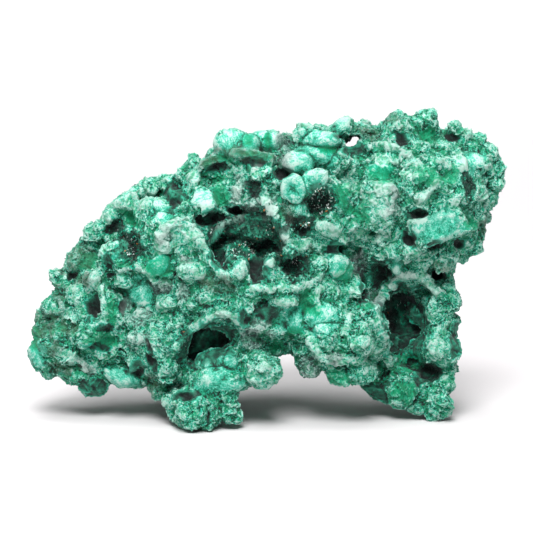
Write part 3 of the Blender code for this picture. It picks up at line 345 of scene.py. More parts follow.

# %% [markdown]
# Each part of the crust grew in its own way, and that gives most of its colour.  SILK is a smooth
# cushion of fibres, PALE a chalky crust, EMERALD a deep clean green, DEEP the smooth wall of a hollow,
# darkened by its shade painted on as colour, DRUSE a dark velvet of tiny crystals, FROST a grey-white
# bloom, MAUVE a grey-purple one and RUST a brown-green stain.  Everything else is a fine granular crust.
# Each patch is an oval: across, up, half across, half up, lean.

# %% Patches of the display side
PATCHES = {
    "silk": [
        (-41.0, 13.0, 2.0, 2.5, 0), (-22.5, 24.0, 3.3, 3.0, 0), (-25.5, 9.0, 3.4, 1.8, -12),
        (-10.8, 40.7, 2.4, 1.9, 20), (-18.2, 38.6, 2.4, 1.6, -20), (-5.9, 50.2, 4.2, 2.6, 0),
        (-0.4, 50.9, 3.1, 2.3, 0), (13.5, 53.7, 2.2, 1.4, 20), (5.6, 47.2, 3.3, 3.2, 0),
        (9.8, 50.9, 3.9, 1.8, 0), (8.8, 48.0, 3.6, 2.4, 0), (4.8, 42.4, 2.5, 2.9, 15),
        (8.4, 43.4, 2.9, 2.1, 38), (6.0, 39.0, 1.1, 1.5, 0), (-8.0, 34.8, 1.2, 1.9, 0),
        (23.3, 29.0, 1.1, 1.9, 0), (30.6, 35.6, 5.0, 2.6, 17), (36.5, 47.0, 2.4, 2.1, 0),
        (4.6, 19.2, 2.4, 2.9, 0), (-8.4, 8.0, 4.6, 2.0, 0), (-8.0, 11.5, 3.0, 2.6, 0),
        (13.0, 28.6, 1.9, 2.0, 0), (10.0, 19.6, 3.0, 3.0, 0), (20.6, 45.4, 2.1, 1.9, 0),
        (-18.6, 28.8, 2.2, 2.2, 0),
    ],
    "pale": [
        (-37.0, 20.5, 2.3, 1.8, 0), (-33.3, 23.5, 2.3, 2.1, 0), (-30.3, 25.8, 1.6, 1.7, 0),
        (-28.5, 21.6, 0.9, 3.2, 5), (-18.0, 22.0, 2.3, 1.9, 0), (-18.5, 32.3, 2.0, 1.6, 0),
        (-25.6, 39.6, 2.4, 1.5, 30), (-12.5, 44.2, 1.2, 1.8, 0), (-14.0, 32.0, 2.2, 3.0, 5),
        (12.0, 30.2, 1.6, 1.0, 0), (0.5, 29.3, 0.9, 1.5, 20), (10.6, 35.4, 2.4, 1.3, -10),
        (6.0, 32.6, 1.8, 1.4, 0), (-4.6, 28.4, 1.3, 2.1, 20), (20.5, 47.7, 2.5, 1.1, 0),
        (26.0, 45.6, 1.6, 1.8, 0), (28.0, 41.2, 2.2, 0.9, 20), (19.0, 39.6, 1.5, 4.2, -8),
        (16.5, 34.4, 1.9, 0.9, -15), (26.6, 36.5, 1.9, 0.6, 10), (14.5, 25.0, 3.2, 2.5, 0),
        (19.4, 16.0, 2.2, 4.2, 5), (18.5, 10.6, 2.1, 1.5, 0), (3.5, 22.6, 2.5, 0.9, 8),
        (-1.0, 9.6, 2.6, 2.8, 0), (30.6, 15.0, 2.5, 2.4, 0), (31.3, 17.6, 1.4, 1.0, 0),
        (-17.0, 4.3, 1.2, 1.1, 0), (31.3, 9.3, 1.2, 1.1, 0), (-35.6, 13.0, 3.4, 0.9, -30),
        (-22.0, 21.6, 1.9, 1.0, 20), (37.3, 41.5, 0.6, 2.2, 10), (39.6, 45.8, 1.1, 0.5, -30),
        (-12.8, 27.9, 2.6, 1.6, -15), (20.0, 34.0, 1.2, 1.2, 0), (25.8, 31.6, 1.6, 0.9, -10),
        (-30.0, 11.3, 2.6, 0.7, -35), (20.2, 39.5, 2.6, 4.4, -8), (11.0, 34.0, 3.4, 1.8, 0),
        (12.4, 26.6, 3.6, 1.6, 0), (-22.0, 40.6, 2.6, 1.6, 20), (-27.6, 37.4, 2.0, 1.6, 40),
        (33.6, 46.4, 3.0, 2.6, 0), (34.0, 40.6, 2.6, 1.8, 0), (15.0, 44.0, 2.2, 1.8, 0),
    ],
    "emerald": [
        (-27.0, 20.3, 1.1, 2.0, 0), (-29.2, 15.9, 2.8, 2.2, 0), (-18.7, 28.2, 2.2, 2.2, 0),
        (-23.8, 37.4, 2.1, 1.0, -40), (-7.8, 41.4, 1.4, 2.0, 0), (-3.2, 50.9, 0.8, 1.2, 0),
        (-8.6, 47.3, 3.0, 0.8, 12), (0.2, 51.0, 0.8, 1.3, 0), (-2.8, 48.4, 3.8, 0.7, -5),
        (10.5, 49.2, 1.8, 0.9, 0), (13.4, 40.8, 1.7, 2.1, 0), (13.8, 27.8, 1.6, 1.4, 0),
        (20.6, 45.0, 2.2, 1.6, 0), (28.6, 44.6, 1.7, 1.9, 0), (16.6, 38.2, 2.4, 1.6, -40),
        (24.8, 19.6, 0.9, 3.4, 20), (24.6, 6.4, 2.3, 2.0, 0), (25.4, 11.6, 2.2, 1.7, 0),
        (7.0, 23.0, 1.5, 1.7, 0), (8.6, 21.0, 1.5, 1.2, 0), (11.8, 8.8, 2.0, 1.5, 0),
        (-9.0, 16.0, 1.7, 1.2, 0), (5.0, 17.2, 1.3, 1.0, 0), (-8.0, 44.0, 1.3, 0.7, 0),
        (-5.0, 32.0, 2.0, 0.9, 0), (-41.6, 15.6, 1.0, 2.4, 0), (-36.5, 17.8, 1.4, 1.0, 0),
        (9.6, 37.9, 1.6, 0.7, 0), (29.0, 51.6, 1.6, 1.4, 0), (32.5, 44.6, 1.6, 1.2, 0),
        (1.8, 14.8, 1.4, 1.0, 0), (-31.4, 29.4, 1.5, 1.2, 0), (36.2, 36.4, 1.4, 1.2, 0),
        (-24.8, 29.2, 1.4, 0.8, 0), (18.0, 22.0, 0.8, 1.4, 0),
    ],
    "deep": [
        (-30.4, 21.4, 1.5, 2.0, -20), (-27.9, 29.2, 0.9, 1.6, 0), (-27.5, 27.2, 0.7, 0.6, 0),
        (-29.8, 14.2, 2.3, 0.8, 0), (-30.6, 6.8, 2.4, 1.9, 0), (-22.8, 10.5, 1.5, 1.4, 0),
        (-20.2, 11.6, 0.8, 2.2, 35), (-16.0, 41.8, 1.9, 2.4, 0), (-8.5, 45.7, 2.1, 0.9, 8),
        (-9.6, 37.0, 4.0, 1.3, 10), (-1.9, 47.2, 2.1, 1.1, 0), (14.2, 51.3, 2.2, 0.8, 0),
        (3.0, 45.0, 1.7, 1.1, 0), (-5.0, 38.8, 1.9, 1.2, 0), (-8.2, 29.8, 1.7, 2.0, -30),
        (1.7, 32.0, 1.0, 1.3, 0), (12.2, 32.3, 1.5, 1.9, 0), (-1.5, 28.0, 1.9, 2.5, 0),
        (15.6, 49.2, 2.6, 1.3, 10), (24.0, 51.0, 0.9, 1.6, 35), (26.8, 38.0, 1.9, 1.0, 5),
        (25.0, 33.5, 1.4, 1.3, -30), (29.2, 32.5, 1.8, 1.0, 0), (34.3, 32.7, 1.2, 1.1, 0),
        (33.0, 51.6, 1.3, 0.9, 0), (20.5, 27.8, 1.9, 2.4, 0), (30.7, 27.0, 1.6, 0.8, 0),
        (24.6, 18.4, 4.0, 6.8, 14), (34.0, 15.0, 1.5, 3.2, 0), (28.6, 9.5, 2.5, 1.9, 20),
        (19.2, 6.6, 2.6, 1.5, -32), (17.3, 24.6, 0.9, 3.0, 5), (-14.0, 5.9, 2.4, 0.9, 0),
        (-10.2, 15.2, 5.3, 3.4, 25), (-4.0, 19.7, 1.0, 1.9, 0), (0.0, 20.6, 2.0, 1.6, 0),
        (-9.7, 2.4, 0.4, 1.6, 0), (-20.6, 14.4, 0.7, 1.6, 20), (-25.4, 21.4, 0.6, 1.2, 0),
        (-34.5, 27.0, 1.4, 0.6, 30),
    ],
    "druse": [
        (-24.0, 32.4, 2.4, 2.9, 0), (-26.6, 36.0, 1.6, 1.5, 0), (-3.2, 34.2, 6.8, 4.6, 8),
        (9.6, 40.2, 3.0, 2.6, 20), (6.9, 36.2, 2.1, 1.7, 0), (5.0, 28.9, 2.6, 2.2, 0),
        (2.3, 30.4, 1.2, 1.0, 0), (35.5, 42.6, 1.1, 2.8, 10), (23.6, 21.6, 2.4, 2.8, 0),
        (-14.2, 15.2, 1.2, 2.4, 0), (-28.4, 17.8, 1.6, 0.9, 0), (-2.0, 42.2, 1.7, 1.8, 0),
    ],
    "frost": [
        (-22.4, 19.8, 2.3, 1.6, 20), (-22.7, 16.0, 2.0, 1.8, 0), (-17.5, 34.0, 1.4, 1.1, 0),
        (-5.0, 42.3, 1.4, 2.5, 0), (-2.4, 39.5, 1.9, 1.0, 0), (0.7, 38.9, 0.8, 2.7, -25),
        (3.4, 34.4, 0.8, 2.6, -15), (-6.0, 36.7, 3.4, 0.7, 22), (-1.0, 18.3, 1.9, 1.1, -10),
        (-32.0, 10.6, 2.2, 0.8, -35), (24.2, 27.0, 2.2, 0.6, 15), (-24.6, 21.8, 1.0, 1.6, 0),
        (16.8, 31.2, 0.7, 1.4, -20), (1.0, 16.8, 1.1, 1.1, 0), (-14.6, 24.6, 1.0, 1.6, 0),
        (22.4, 38.6, 1.4, 1.2, 0), (-1.6, 46.0, 0.8, 0.8, 0),
    ],
    "mauve": [
        (-18.5, 25.0, 1.7, 1.2, 0), (3.0, 47.6, 1.6, 2.4, 0), (3.0, 51.0, 1.6, 1.5, 0),
        (16.5, 29.6, 1.6, 2.6, 0), (19.2, 22.9, 1.6, 1.5, 0), (7.4, 10.6, 2.1, 2.0, 0),
        (-2.6, 15.8, 1.9, 1.7, 0), (22.4, 41.6, 1.4, 1.0, 0), (-13.6, 29.8, 1.2, 0.9, 0),
        (26.2, 22.6, 1.2, 0.9, 0), (12.0, 12.6, 1.6, 0.9, 0),
    ],
    "rust": [
        (-39.5, 18.5, 3.0, 2.6, 0), (-36.5, 24.2, 1.7, 1.3, 30), (-35.9, 27.7, 1.0, 1.0, 0),
        (-33.2, 30.4, 2.6, 2.2, 0), (-9.8, 46.9, 2.0, 1.1, 0), (-4.0, 48.4, 5.6, 1.0, -4),
        (3.9, 38.0, 1.4, 1.8, 0), (18.0, 52.4, 2.2, 1.9, 0), (-36.0, 10.6, 2.2, 1.4, 0),
        (23.0, 55.0, 2.0, 1.0, 0), (-8.0, 25.4, 3.0, 1.8, 0), (-34.8, 17.6, 1.6, 1.2, 0),
        (7.7, 32.2, 0.7, 0.9, 0), (-20.6, 7.4, 1.8, 1.8, 0), (31.0, 28.6, 1.8, 1.0, 0),
        (38.6, 36.0, 1.2, 2.0, 0), (-38.0, 14.0, 2.0, 1.6, 0), (-32.6, 26.4, 1.6, 1.4, 0),
    ],
}
# How many chance patches cover the sides, the top and the back, and their half widths in millimetres.
CHANCE_PATCHES = {
    "silk": 46, "pale": 60, "emerald": 46, "deep": 60, "druse": 22, "frost": 26, "mauve": 16, "rust": 30,
}
PATCH_SIZES = (1.0, 3.2)

# The rims and ledges are chafed, so they are pale all along.
for thick, _, line in RIDGES:
    for (start_u, start_v), (end_u, end_v) in zip(line, line[1:]):
        steps = math.ceil(math.hypot(end_u - start_u, end_v - start_v))
        for step in range(steps):
            part = (step + 0.5) / steps
            middle = (start_u + part * (end_u - start_u), start_v + part * (end_v - start_v))
            PATCHES["pale"].append((*middle, thick, thick, 0))

SEED = 11
noise.seed_set(SEED)                             # or its vectors would follow the clock
CORE_VOXEL, HOLLOW_VOXEL, SKIN_VOXEL = 0.5, 0.3, 0.29     # millimetres
FACES_WANTED = 376000
ROUGHENED = 0.035                                # how far the last roughening moves a point, in millimetres
SHADE_REACH, SHADE_RAYS = 9.0, 10
CRYSTAL_COUNT = 6500
CRYSTAL_SIZES = (0.1, 0.34)
SHARP_EDGE = math.radians(38.0)                  # edges that turn more than this stay sharp

# %% [markdown]
# A few tools used at every step: work on one thing alone, apply its modifiers, copy a shape that was
# modelled once, and join many shapes into one.

# %% Tools of the bench
def alone(thing):
    bpy.ops.object.select_all(action="DESELECT")
    thing.select_set(True)
    bpy.context.view_layer.objects.active = thing


def name_active(name):
    thing = bpy.context.active_object
    thing.name = name
    return thing


def apply_modifiers(thing):
    alone(thing)
    for modifier in list(thing.modifiers):
        bpy.ops.object.modifier_apply(modifier=modifier.name)


def stand(at, halves, turned):
    """The matrix of a form of these half sizes, in millimetres, turned and set at a place."""
    sizes = Matrix.Diagonal((halves[0] * MM, halves[1] * MM, halves[2] * MM, 1.0))
    return Matrix.Translation(at) @ turned @ sizes


def copy_of(master, at, halves, turned):
    """A copy of a form, with its own mesh."""
    twin = master.copy()
    twin.data = master.data.copy()
    twin.data.transform(stand(at, halves, turned))
    bpy.context.collection.objects.link(twin)
    return twin


def join_up(things, name):
    bpy.ops.object.select_all(action="DESELECT")
    for thing in things:
        thing.select_set(True)
    bpy.context.view_layer.objects.active = things[0]
    bpy.ops.object.join()
    return name_active(name)


def fuse(thing, voxel):
    remesh = thing.modifiers.new("fuse", "REMESH")
    remesh.mode = "VOXEL"
    remesh.voxel_size = voxel * MM
    apply_modifiers(thing)
    print(thing.name, "fused:", len(thing.data.vertices), "points")


def cut_with(thing, tool, operation):
    """Cuts a closed form with another one, which is then used up."""
    cut = thing.modifiers.new("cut", "BOOLEAN")
    cut.operation = operation
    cut.solver = "MANIFOLD"
    cut.object = tool
    apply_modifiers(thing)
    bpy.data.objects.remove(tool)


def surface_of(thing):
    return BVHTree.FromObject(thing, bpy.context.evaluated_depsgraph_get())


def read_off(across, deep, high):
    """How far across and up a place is, as seen from the display side.  All in millimetres."""
    return across, (high + FOOT_DROP) * math.cos(TILT) + deep * math.sin(TILT)


def seat(surface, across, up, side=1.0):
    """Where a line through this place first meets the surface, or the nearest point of it."""
    middle = spot(across, up, 0.0)
    hit = surface.ray_cast(middle - into_stone() * side * 0.1, into_stone() * side)[0]
    return hit or surface.find_nearest(middle)[0]

# %% [markdown]
# The crust repeats a few forms.  Each is modelled once, one unit in half size, and copied.  All start as a
# ball of clay whose points are pushed.  A CUSHION stays round, as silky malachite grows.  A NUGGET is
# bumpy, with a few flat faces where it broke.  A DISH has its front pressed in and keeps a raised rim.  A
# ROSETTE is a low dome creased into lobes, as when several fans of fibres meet.  A CHUNK is all broken
# faces, and a SLAB is a plate with worn edges.

# %% The forms that repeat
def clay_ball(name, fineness, press):
    """A ball of radius 1 whose points, an array, are pushed by the function press."""
    bpy.ops.object.select_all(action="DESELECT")
    bpy.ops.mesh.primitive_ico_sphere_add(subdivisions=fineness, radius=1.0)
    ball = name_active(name)
    count = len(ball.data.vertices)
    clay = np.empty(3 * count)
    ball.data.vertices.foreach_get("co", clay)
    ball.data.vertices.foreach_set("co", press(clay.reshape(count, 3)).ravel())
    ball.data.update()
    return ball


def keep_round(clay):
    return clay


def press_nugget(seed):
    rng = random.Random(seed)
    shift = Vector((seed * 3.1, seed * 1.7, seed * 4.3))
    cuts = [
        (Vector([rng.gauss(0, 1) for _ in range(3)]).normalized(), rng.uniform(0.55, 0.85))
        for _ in range(7)
    ]

    def press(clay):
        swell = np.array([
            0.26 * noise.noise(Vector(point) * 1.5 + shift) + 0.10 * noise.noise(Vector(point) * 3.4)
            for point in clay.tolist()
        ])
        clay = clay * (1.0 + swell)[:, None]
        for facing, reach in cuts:
            over = np.maximum(clay @ np.array(facing) - reach, 0.0)
            clay = clay - 0.8 * over[:, None] * np.array(facing)
        clay -= 0.5 * (clay.max(axis=0) + clay.min(axis=0))
        return clay / clay.max(axis=0)

    return press


def press_dish(clay):
    far = np.hypot(clay[:, 0], clay[:, 2])
    clay[:, 1] *= np.where(clay[:, 1] < 0.0, 0.45 + 0.65 * far**2, 1.0)
    return clay


def press_rosette(lobes, root):
    def press(clay):
        angle = np.arctan2(clay[:, 2] - root, clay[:, 0])
        crease = (1.0 - np.abs(np.sin(0.5 * lobes * angle))) ** 3
        far = np.clip(np.hypot(clay[:, 0], clay[:, 2] - root), 0.0, 1.0)
        front_side = np.clip(-clay[:, 1] * 3.0, 0.0, 1.0)
        clay[:, 1] *= np.where(clay[:, 1] < 0.0, 0.62 + 0.5 * far * (1.0 - far), 1.0)
        clay[:, 1] += 0.34 * crease * front_side * np.clip(far * 3.0, 0.0, 1.0)
        clay[:, [0, 2]] *= (1.0 - 0.12 * crease * far)[:, None]
        return clay

    return press


cushions = {fineness: clay_ball(f"cushion_{fineness}", fineness, keep_round) for fineness in (3, 4, 5)}
nuggets = [clay_ball(f"nugget_{seed}", 4, press_nugget(seed)) for seed in range(8)]
dish = clay_ball("dish", 5, press_dish)
rosettes = [
    clay_ball(f"rosette_{lobes}", 5, press_rosette(lobes, root)) for lobes, root in ((7, 0.1), (5, 0.5))
]

chunks = []
for variant in range(4):
    rng = random.Random(40 + variant)
    chunks.append(clay_ball(f"chunk_{variant}", 3, keep_round))
    bpy.ops.object.mode_set(mode="EDIT")
    for _ in range(11):
        facing = Vector((rng.gauss(0, 1), rng.gauss(0, 1), rng.gauss(0, 1))).normalized()
        bpy.ops.mesh.select_all(action="SELECT")
        bpy.ops.mesh.bisect(
            plane_co=facing * rng.uniform(0.6, 0.82), plane_no=facing, use_fill=True, clear_outer=True
        )
    bpy.ops.object.mode_set(mode="OBJECT")

bpy.ops.mesh.primitive_cube_add(size=2.0)
slab = name_active("slab")
bpy.ops.object.mode_set(mode="EDIT")
bpy.ops.mesh.select_all(action="SELECT")
bpy.ops.mesh.bevel(offset=0.22, segments=2, affect="EDGES")
bpy.ops.object.mode_set(mode="OBJECT")
masters = [*cushions.values(), *nuggets, dish, *rosettes, *chunks, slab]
print("modelled once:", [thing.name for thing in masters])

# %% [markdown]
# The stone could be sculpted from one lump of clay, but it didn't form that way: cushions grew on older
# masses, and the hollows between them stayed open.  So the masses are fused first, the hollows are cut into
# them, and the cushions are grown on what is left.  A voxel remesh makes one skin of it all, as the mineral
# itself does.

# %% Fuse the masses and open the hollows
masses = [
    copy_of(cushions[5], spot(across, up, front), (wide, deep, tall), lean_matrix(lean))
    for across, up, front, wide, tall, deep, lean in MASSES
]
core = join_up(masses, "core")
fuse(core, CORE_VOXEL)
surface = surface_of(core)
cutters = [
    copy_of(
        chunks[number % 4] if wide < 2.7 else nuggets[number % 8],
        seat(surface, across, up, side), (1.05 * wide, depth, 1.05 * tall), lean_matrix(lean),
    )
    for side, hollows in ((1.0, HOLLOWS), (-1.0, BACK_HOLLOWS))
    for number, (across, up, wide, tall, depth, lean) in enumerate(hollows)
]
cutter = join_up(cutters, "hollows")
fuse(cutter, HOLLOW_VOXEL)
cut_with(core, cutter, "DIFFERENCE")
print("core:", len(core.data.vertices), "points")

# %% Grow the lumps, slabs, chunks and rims
def is_silky(across, up):
    return any(
        math.hypot((across - u) / wide, (up - v) / tall) < 1.0 for u, v, wide, tall, _ in PATCHES["silk"]
    )


def lump_form(number, across, up):
    return cushions[4] if is_silky(across, up) else nuggets[number % len(nuggets)]


surface = surface_of(core)
grown = []
stands = []


def grow(form, at, halves, turned):
    grown.append(copy_of(form, at, halves, turned))
    stands.append(stand(at, halves, turned))


for number, (across, up, front, wide, tall, lean) in enumerate(RIM_LUMPS):
    form = lump_form(number, across, up)
    grow(form, spot(across, up, front), (wide, 0.6 * (wide + tall), tall), lean_matrix(lean))
for number, (across, up, proud, wide, tall, lean) in enumerate(FACE_LUMPS):
    deep = 0.5 * (wide + tall)
    at = seat(surface, across, up) + into_stone() * (deep - 1.15 * proud) * MM
    grow(lump_form(number, across, up), at, (wide, deep, tall), lean_matrix(lean))
for table, forms in ((SLABS, [slab]), (CHUNKS, chunks), (DISHES, [dish]), (ROSETTES, rosettes)):
    for number, (across, up, proud, wide, tall, thick, lean, nod, turn) in enumerate(table):
        at = seat(surface, across, up) + into_stone() * (thick - proud) * MM
        grow(forms[number % len(forms)], at, (wide, thick, tall), lean_matrix(lean, nod, turn))
for thick, proud, line in RIDGES:
    places = [seat(surface, across, up) + into_stone() * (thick - proud) * MM for across, up in line]
    for start, end in zip(places, places[1:]):
        steps = max(2, math.ceil((end - start).length / (0.6 * thick * MM)))
        for step in range(steps + 1):
            at = start.lerp(end, step / steps)
            grown.append(copy_of(cushions[3], at, (thick,) * 3, Matrix.Identity(4)))
print(len(grown), "forms grown by hand")

# %% Grow the chance lumps of the sides, the top and the back, and small blades and grains everywhere
def scatter(rng, wanted, free):
    areas = [face.area for face in free]
    return rng.choices(free, weights=areas, k=wanted)


rng = random.Random(SEED)
count, smallest, largest = CRUST
hidden_faces = [face for face in core.data.polygons if face.normal.dot(into_stone()) > -0.25]
for number, face in enumerate(scatter(rng, count, hidden_faces)):
    size = smallest + (largest - smallest) * rng.random() ** 2
    halves = [size * rng.uniform(0.8, 1.25) for _ in range(3)]
    turned = Matrix.Rotation(rng.uniform(0.0, math.pi), 4, face.normal)
    at = face.center - face.normal * 0.4 * size * MM
    if number % 5 == 0:
        form = chunks[number % 4]
    else:
        form = cushions[4] if number % 4 == 0 else nuggets[number % 8]
    grow(form, at, halves, turned)
stone = join_up([core, *grown], "stone")
fuse(stone, 2.0 * SKIN_VOXEL)


calm = [oval[:4] for finish in ("silk", "deep", "druse") for oval in PATCHES[finish]]
calm += [(row[0], row[1], row[3], row[4]) for row in SLABS]
small = []
for number, face in enumerate(scatter(rng, BLADES + KNOBS + GRAINS, list(stone.data.polygons))):
    across, up = read_off(*(face.center / MM + MIDDLE))
    seen = -face.normal.dot(into_stone())
    quiet = seen > -0.5 and any(
        math.hypot((across - u) / wide, (up - v) / tall) < 1.0 for u, v, wide, tall in calm
    )
    if quiet or (number < BLADES and abs(seen) < 0.45):
        continue
    at = face.center - face.normal * 0.3 * MM
    turned = face.normal.to_track_quat("Z", "Y").to_matrix().to_4x4()
    turned = turned @ Matrix.Rotation(rng.uniform(0.0, math.tau), 4, "Z")
    turned = turned @ Matrix.Rotation(rng.uniform(-0.9, 0.9), 4, "X")
    if number < BLADES:
        size = rng.uniform(0.7, 1.5)
        small.append(copy_of(slab, at, (size, 0.3, size * rng.uniform(0.6, 1.0)), turned))
    else:
        knob = number < BLADES + KNOBS
        size = rng.uniform(1.1, 2.1) if knob else rng.uniform(0.45, 1.1)
        halves = (size, size * rng.uniform(0.7, 1.0), size * rng.uniform(0.5, 0.8))
        form = nuggets[number % 8] if number % 2 or abs(seen) < 0.5 else chunks[number % 4]
        small.append(copy_of(form, at, halves, turned))
        if knob:
            stands.append(stand(at, halves, turned))
print(len(small), "small blades, knobs and grains")
stone = join_up([stone, *small], "stone")
for master in masters:
    bpy.data.objects.remove(master)
fuse(stone, SKIN_VOXEL)

# %% Open the one gap that shows daylight
bpy.ops.mesh.primitive_ico_sphere_add(subdivisions=4, radius=1.0)
window = name_active("window")
across, up, wide, tall, lean = WINDOW
sizes = Matrix.Diagonal((wide * MM, 0.1, tall * MM, 1.0))
window.data.transform(
    Matrix.Translation(spot(across, up, 0.0)) @ Matrix.Rotation(-TILT, 4, "X") @ lean_matrix(lean) @ sizes
)
cut_with(stone, window, "DIFFERENCE")
print("stone:", len(stone.data.vertices), "points")

# %% [markdown]
# Now the sculpting.  The points of the surface are read into arrays, and each is moved a little along the
# smoothed direction that it faces.  The arrays also remember how each spot grew, because the colour will
# need it.

# %% Read the surface as arrays, in millimetres
def read_points(thing):
    mesh = thing.data
    points = np.empty(3 * len(mesh.vertices))
    mesh.vertices.foreach_get("co", points)
    facing = np.empty(3 * len(mesh.vertices))
    mesh.vertex_normals.foreach_get("vector", facing)
    pairs = np.empty(2 * len(mesh.edges), dtype=np.int32)
    mesh.edges.foreach_get("vertices", pairs)
    return points.reshape(-1, 3) / MM, facing.reshape(-1, 3), pairs.reshape(-1, 2)


def write_points(thing, points):
    thing.data.vertices.foreach_set("co", (points * MM).ravel())
    thing.data.update()


def spread(values, pairs, times):
    """Blends each point's values with its neighbours' values, again and again."""
    size = len(values)
    count = np.bincount(pairs.ravel(), minlength=size)
    table = values.reshape(size, -1).astype(float)
    for _ in range(times):
        for column in range(table.shape[1]):
            there = table[:, column]
            total = np.bincount(pairs[:, 0], weights=there[pairs[:, 1]], minlength=size)
            total += np.bincount(pairs[:, 1], weights=there[pairs[:, 0]], minlength=size)
            table[:, column] = 0.5 * there + 0.5 * total / count
    return table.reshape(values.shape)


def unit(vectors):
    return vectors / np.maximum(np.linalg.norm(vectors, axis=-1, keepdims=True), 1e-9)


def smooth_step(low, high, values):
    part = np.clip((values - low) / (high - low), 0.0, 1.0)
    return part * part * (3.0 - 2.0 * part)


points, facing, pairs = read_points(stone)
print("surface:", len(points), "points,", round(float(np.ptp(points[:, 0])), 1), "mm long")

# %% [markdown]
# Each patch of the display side is felt by the points that face that side.  A little noise makes its edge
# ragged.  On the other sides the patches fall by chance, as round spots on the surface.

# %% Feel the patches
def chance_field(points, scale, seed):
    """A soft random value from -1 to 1 at every point, of this size in millimetres."""
    shift = Vector((seed * 17.3, seed * 5.1, seed * 9.7))
    return np.array([noise.noise(Vector(point) / scale + shift) for point in points.tolist()])


def feel_patches(points, facing, pairs):
    across, up = read_off(*(points + np.array(MIDDLE)).T)
    toward = -(unit(spread(facing, pairs, 6)) @ np.array(into_stone()))
    front = smooth_step(-0.25, 0.1, toward) * smooth_step(8.0, 2.0, points[:, 1])
    ragged = chance_field(points, 1.7, 1) * 0.55 + chance_field(points, 0.7, 2) * 0.3
    felt = {}
    nearest = {}
    for finish, patches in PATCHES.items():
        most = np.zeros(len(points))
        inner = np.ones(len(points))
        for u, v, wide, tall, lean in patches:
            turn = math.radians(lean)
            along = (across - u) * math.cos(turn) + (up - v) * math.sin(turn)
            over = (up - v) * math.cos(turn) - (across - u) * math.sin(turn)
            far = np.sqrt((along / wide) ** 2 + (over / tall) ** 2)
            most = np.maximum(most, smooth_step(1.18, 0.82, far + ragged) * front)
            inner = np.minimum(inner, np.where(front > 0.5, far, 1.0))
        felt[finish] = most
        nearest[finish] = np.clip(inner, 0.0, 1.0)
    rng = np.random.default_rng(5)
    rest = np.flatnonzero(front < 0.3)
    for finish, count in CHANCE_PATCHES.items():
        for index in rng.choice(rest, count):
            size = rng.uniform(*PATCH_SIZES)
            far = np.linalg.norm((points - points[index]) / rng.uniform(0.7, 1.4, 3), axis=1) / size
            felt[finish] = np.maximum(felt[finish], smooth_step(1.18, 0.82, far + ragged) * (1.0 - front))
            nearest[finish] = np.minimum(nearest[finish], np.where(front < 0.5, np.clip(far, 0, 1), 1.0))
    return felt, nearest


felt, nearest = feel_patches(points, facing, pairs)
for finish, share in felt.items():
    print(finish, "covers", round(100 * float(share.mean()), 1), "%")

# %% [markdown]
# Every lump is felt too: how near each point is to its surface, which lump that is, and where on the lump
# it sits.  Fibres fan out from one root on each lump, and a sharp crease runs where two lumps meet.

# %% Feel the lumps
def feel_lumps(points, stands):
    size = len(points)
    near, following = np.full(size, 9.0), np.full(size, 9.0)
    number = np.zeros(size, dtype=int)
    seat_on = np.zeros((size, 3))
    for index, matrix in enumerate(stands):
        back = np.array(matrix.inverted())
        reach = 1.7 * max(matrix.to_scale()) / MM
        close = np.flatnonzero(np.abs(points - np.array(matrix.translation) / MM).max(axis=1) < reach)
        here = points[close] * MM @ back[:3, :3].T + back[:3, 3]
        far = np.linalg.norm(here, axis=1)
        ours = far < near[close]
        following[close] = np.where(ours, near[close], np.minimum(following[close], far))
        won = close[ours]
        near[won], number[won], seat_on[won] = far[ours], index, here[ours]
    return near, following, number, seat_on


lump_near, lump_following, lump_number, lump_place = feel_lumps(points, stands)
on_lump = smooth_step(1.3, 1.1, lump_near)
lump_chance = np.abs(np.sin(lump_number * 12.9898 + 4.1) * 43758.5453) % 1.0
root = np.stack([0.55 * np.cos(lump_number * 2.4), 0.55 * np.sin(lump_number * 2.4)], axis=1)
lump_way = unit(lump_place[:, [0, 2]] - root)
lump_edge = np.clip(np.hypot(lump_place[:, 0], lump_place[:, 2]), 0.0, 1.2) / 1.2
seam = np.exp(-(((lump_following - lump_near) / 0.09) ** 2)) * on_lump
print("on lumps:", round(100 * float(on_lump.mean())), "%")

# %% [markdown]
# The fused lumps are still too round.  Real crust is twisted and broken, so the whole surface is bent
# first, in every direction, by soft noise of two sizes.

# %% Bend the lumps out of round
def chance_push(points, scale, seed):
    """A soft random push, in every direction, of this size in millimetres."""
    shift = Vector((seed * 7.1, seed * 3.3, seed * 11.9))
    return np.array([noise.noise_vector(Vector(point) / scale + shift)[:] for point in points.tolist()])


direction = unit(spread(facing, pairs, 5))
bend = (1.0 - 0.6 * felt["silk"])[:, None]
points = points + bend * (0.55 * chance_push(points, 4.2, 3) + 0.3 * chance_push(points, 1.9, 6))
print("bent")

# %% [markdown]
# Cells come next.  A cell is one small cushion, cup or broken face of the crust.  Cells are the regions
# nearest to scattered seeds, a Voronoi pattern.  Its seeds give the fibres their direction too: they fan
# out from the seed.

# %% Grow the cells
def cells(points, size, seed, warp):
    """For every point: how far out in its cell it is, the way to the seed, and the cell's chance number."""
    shift = Vector((seed * 3.7, seed * 8.9, seed * 1.3))
    near, following, seeds = [], [], []
    for point in points.tolist():
        here = Vector(point) / size + shift
        if warp:
            here += noise.noise_vector(here * 1.3) * warp
        gaps, places = noise.voronoi(here)
        near.append(gaps[0])
        following.append(gaps[1])
        seeds.append((places[0] - here)[:] + places[0][:])
    near, following, seeds = np.array(near), np.array(following), np.array(seeds)
    toward_seed = seeds[:, :3] * size
    chance = np.abs(np.sin(seeds[:, 3:] @ np.array([12.9898, 78.233, 37.719])) * 43758.5453) % 1.0
    inner = np.clip(2.0 * near / np.maximum(near + following, 1e-6), 0.0, 1.0)
    return inner, toward_seed, chance


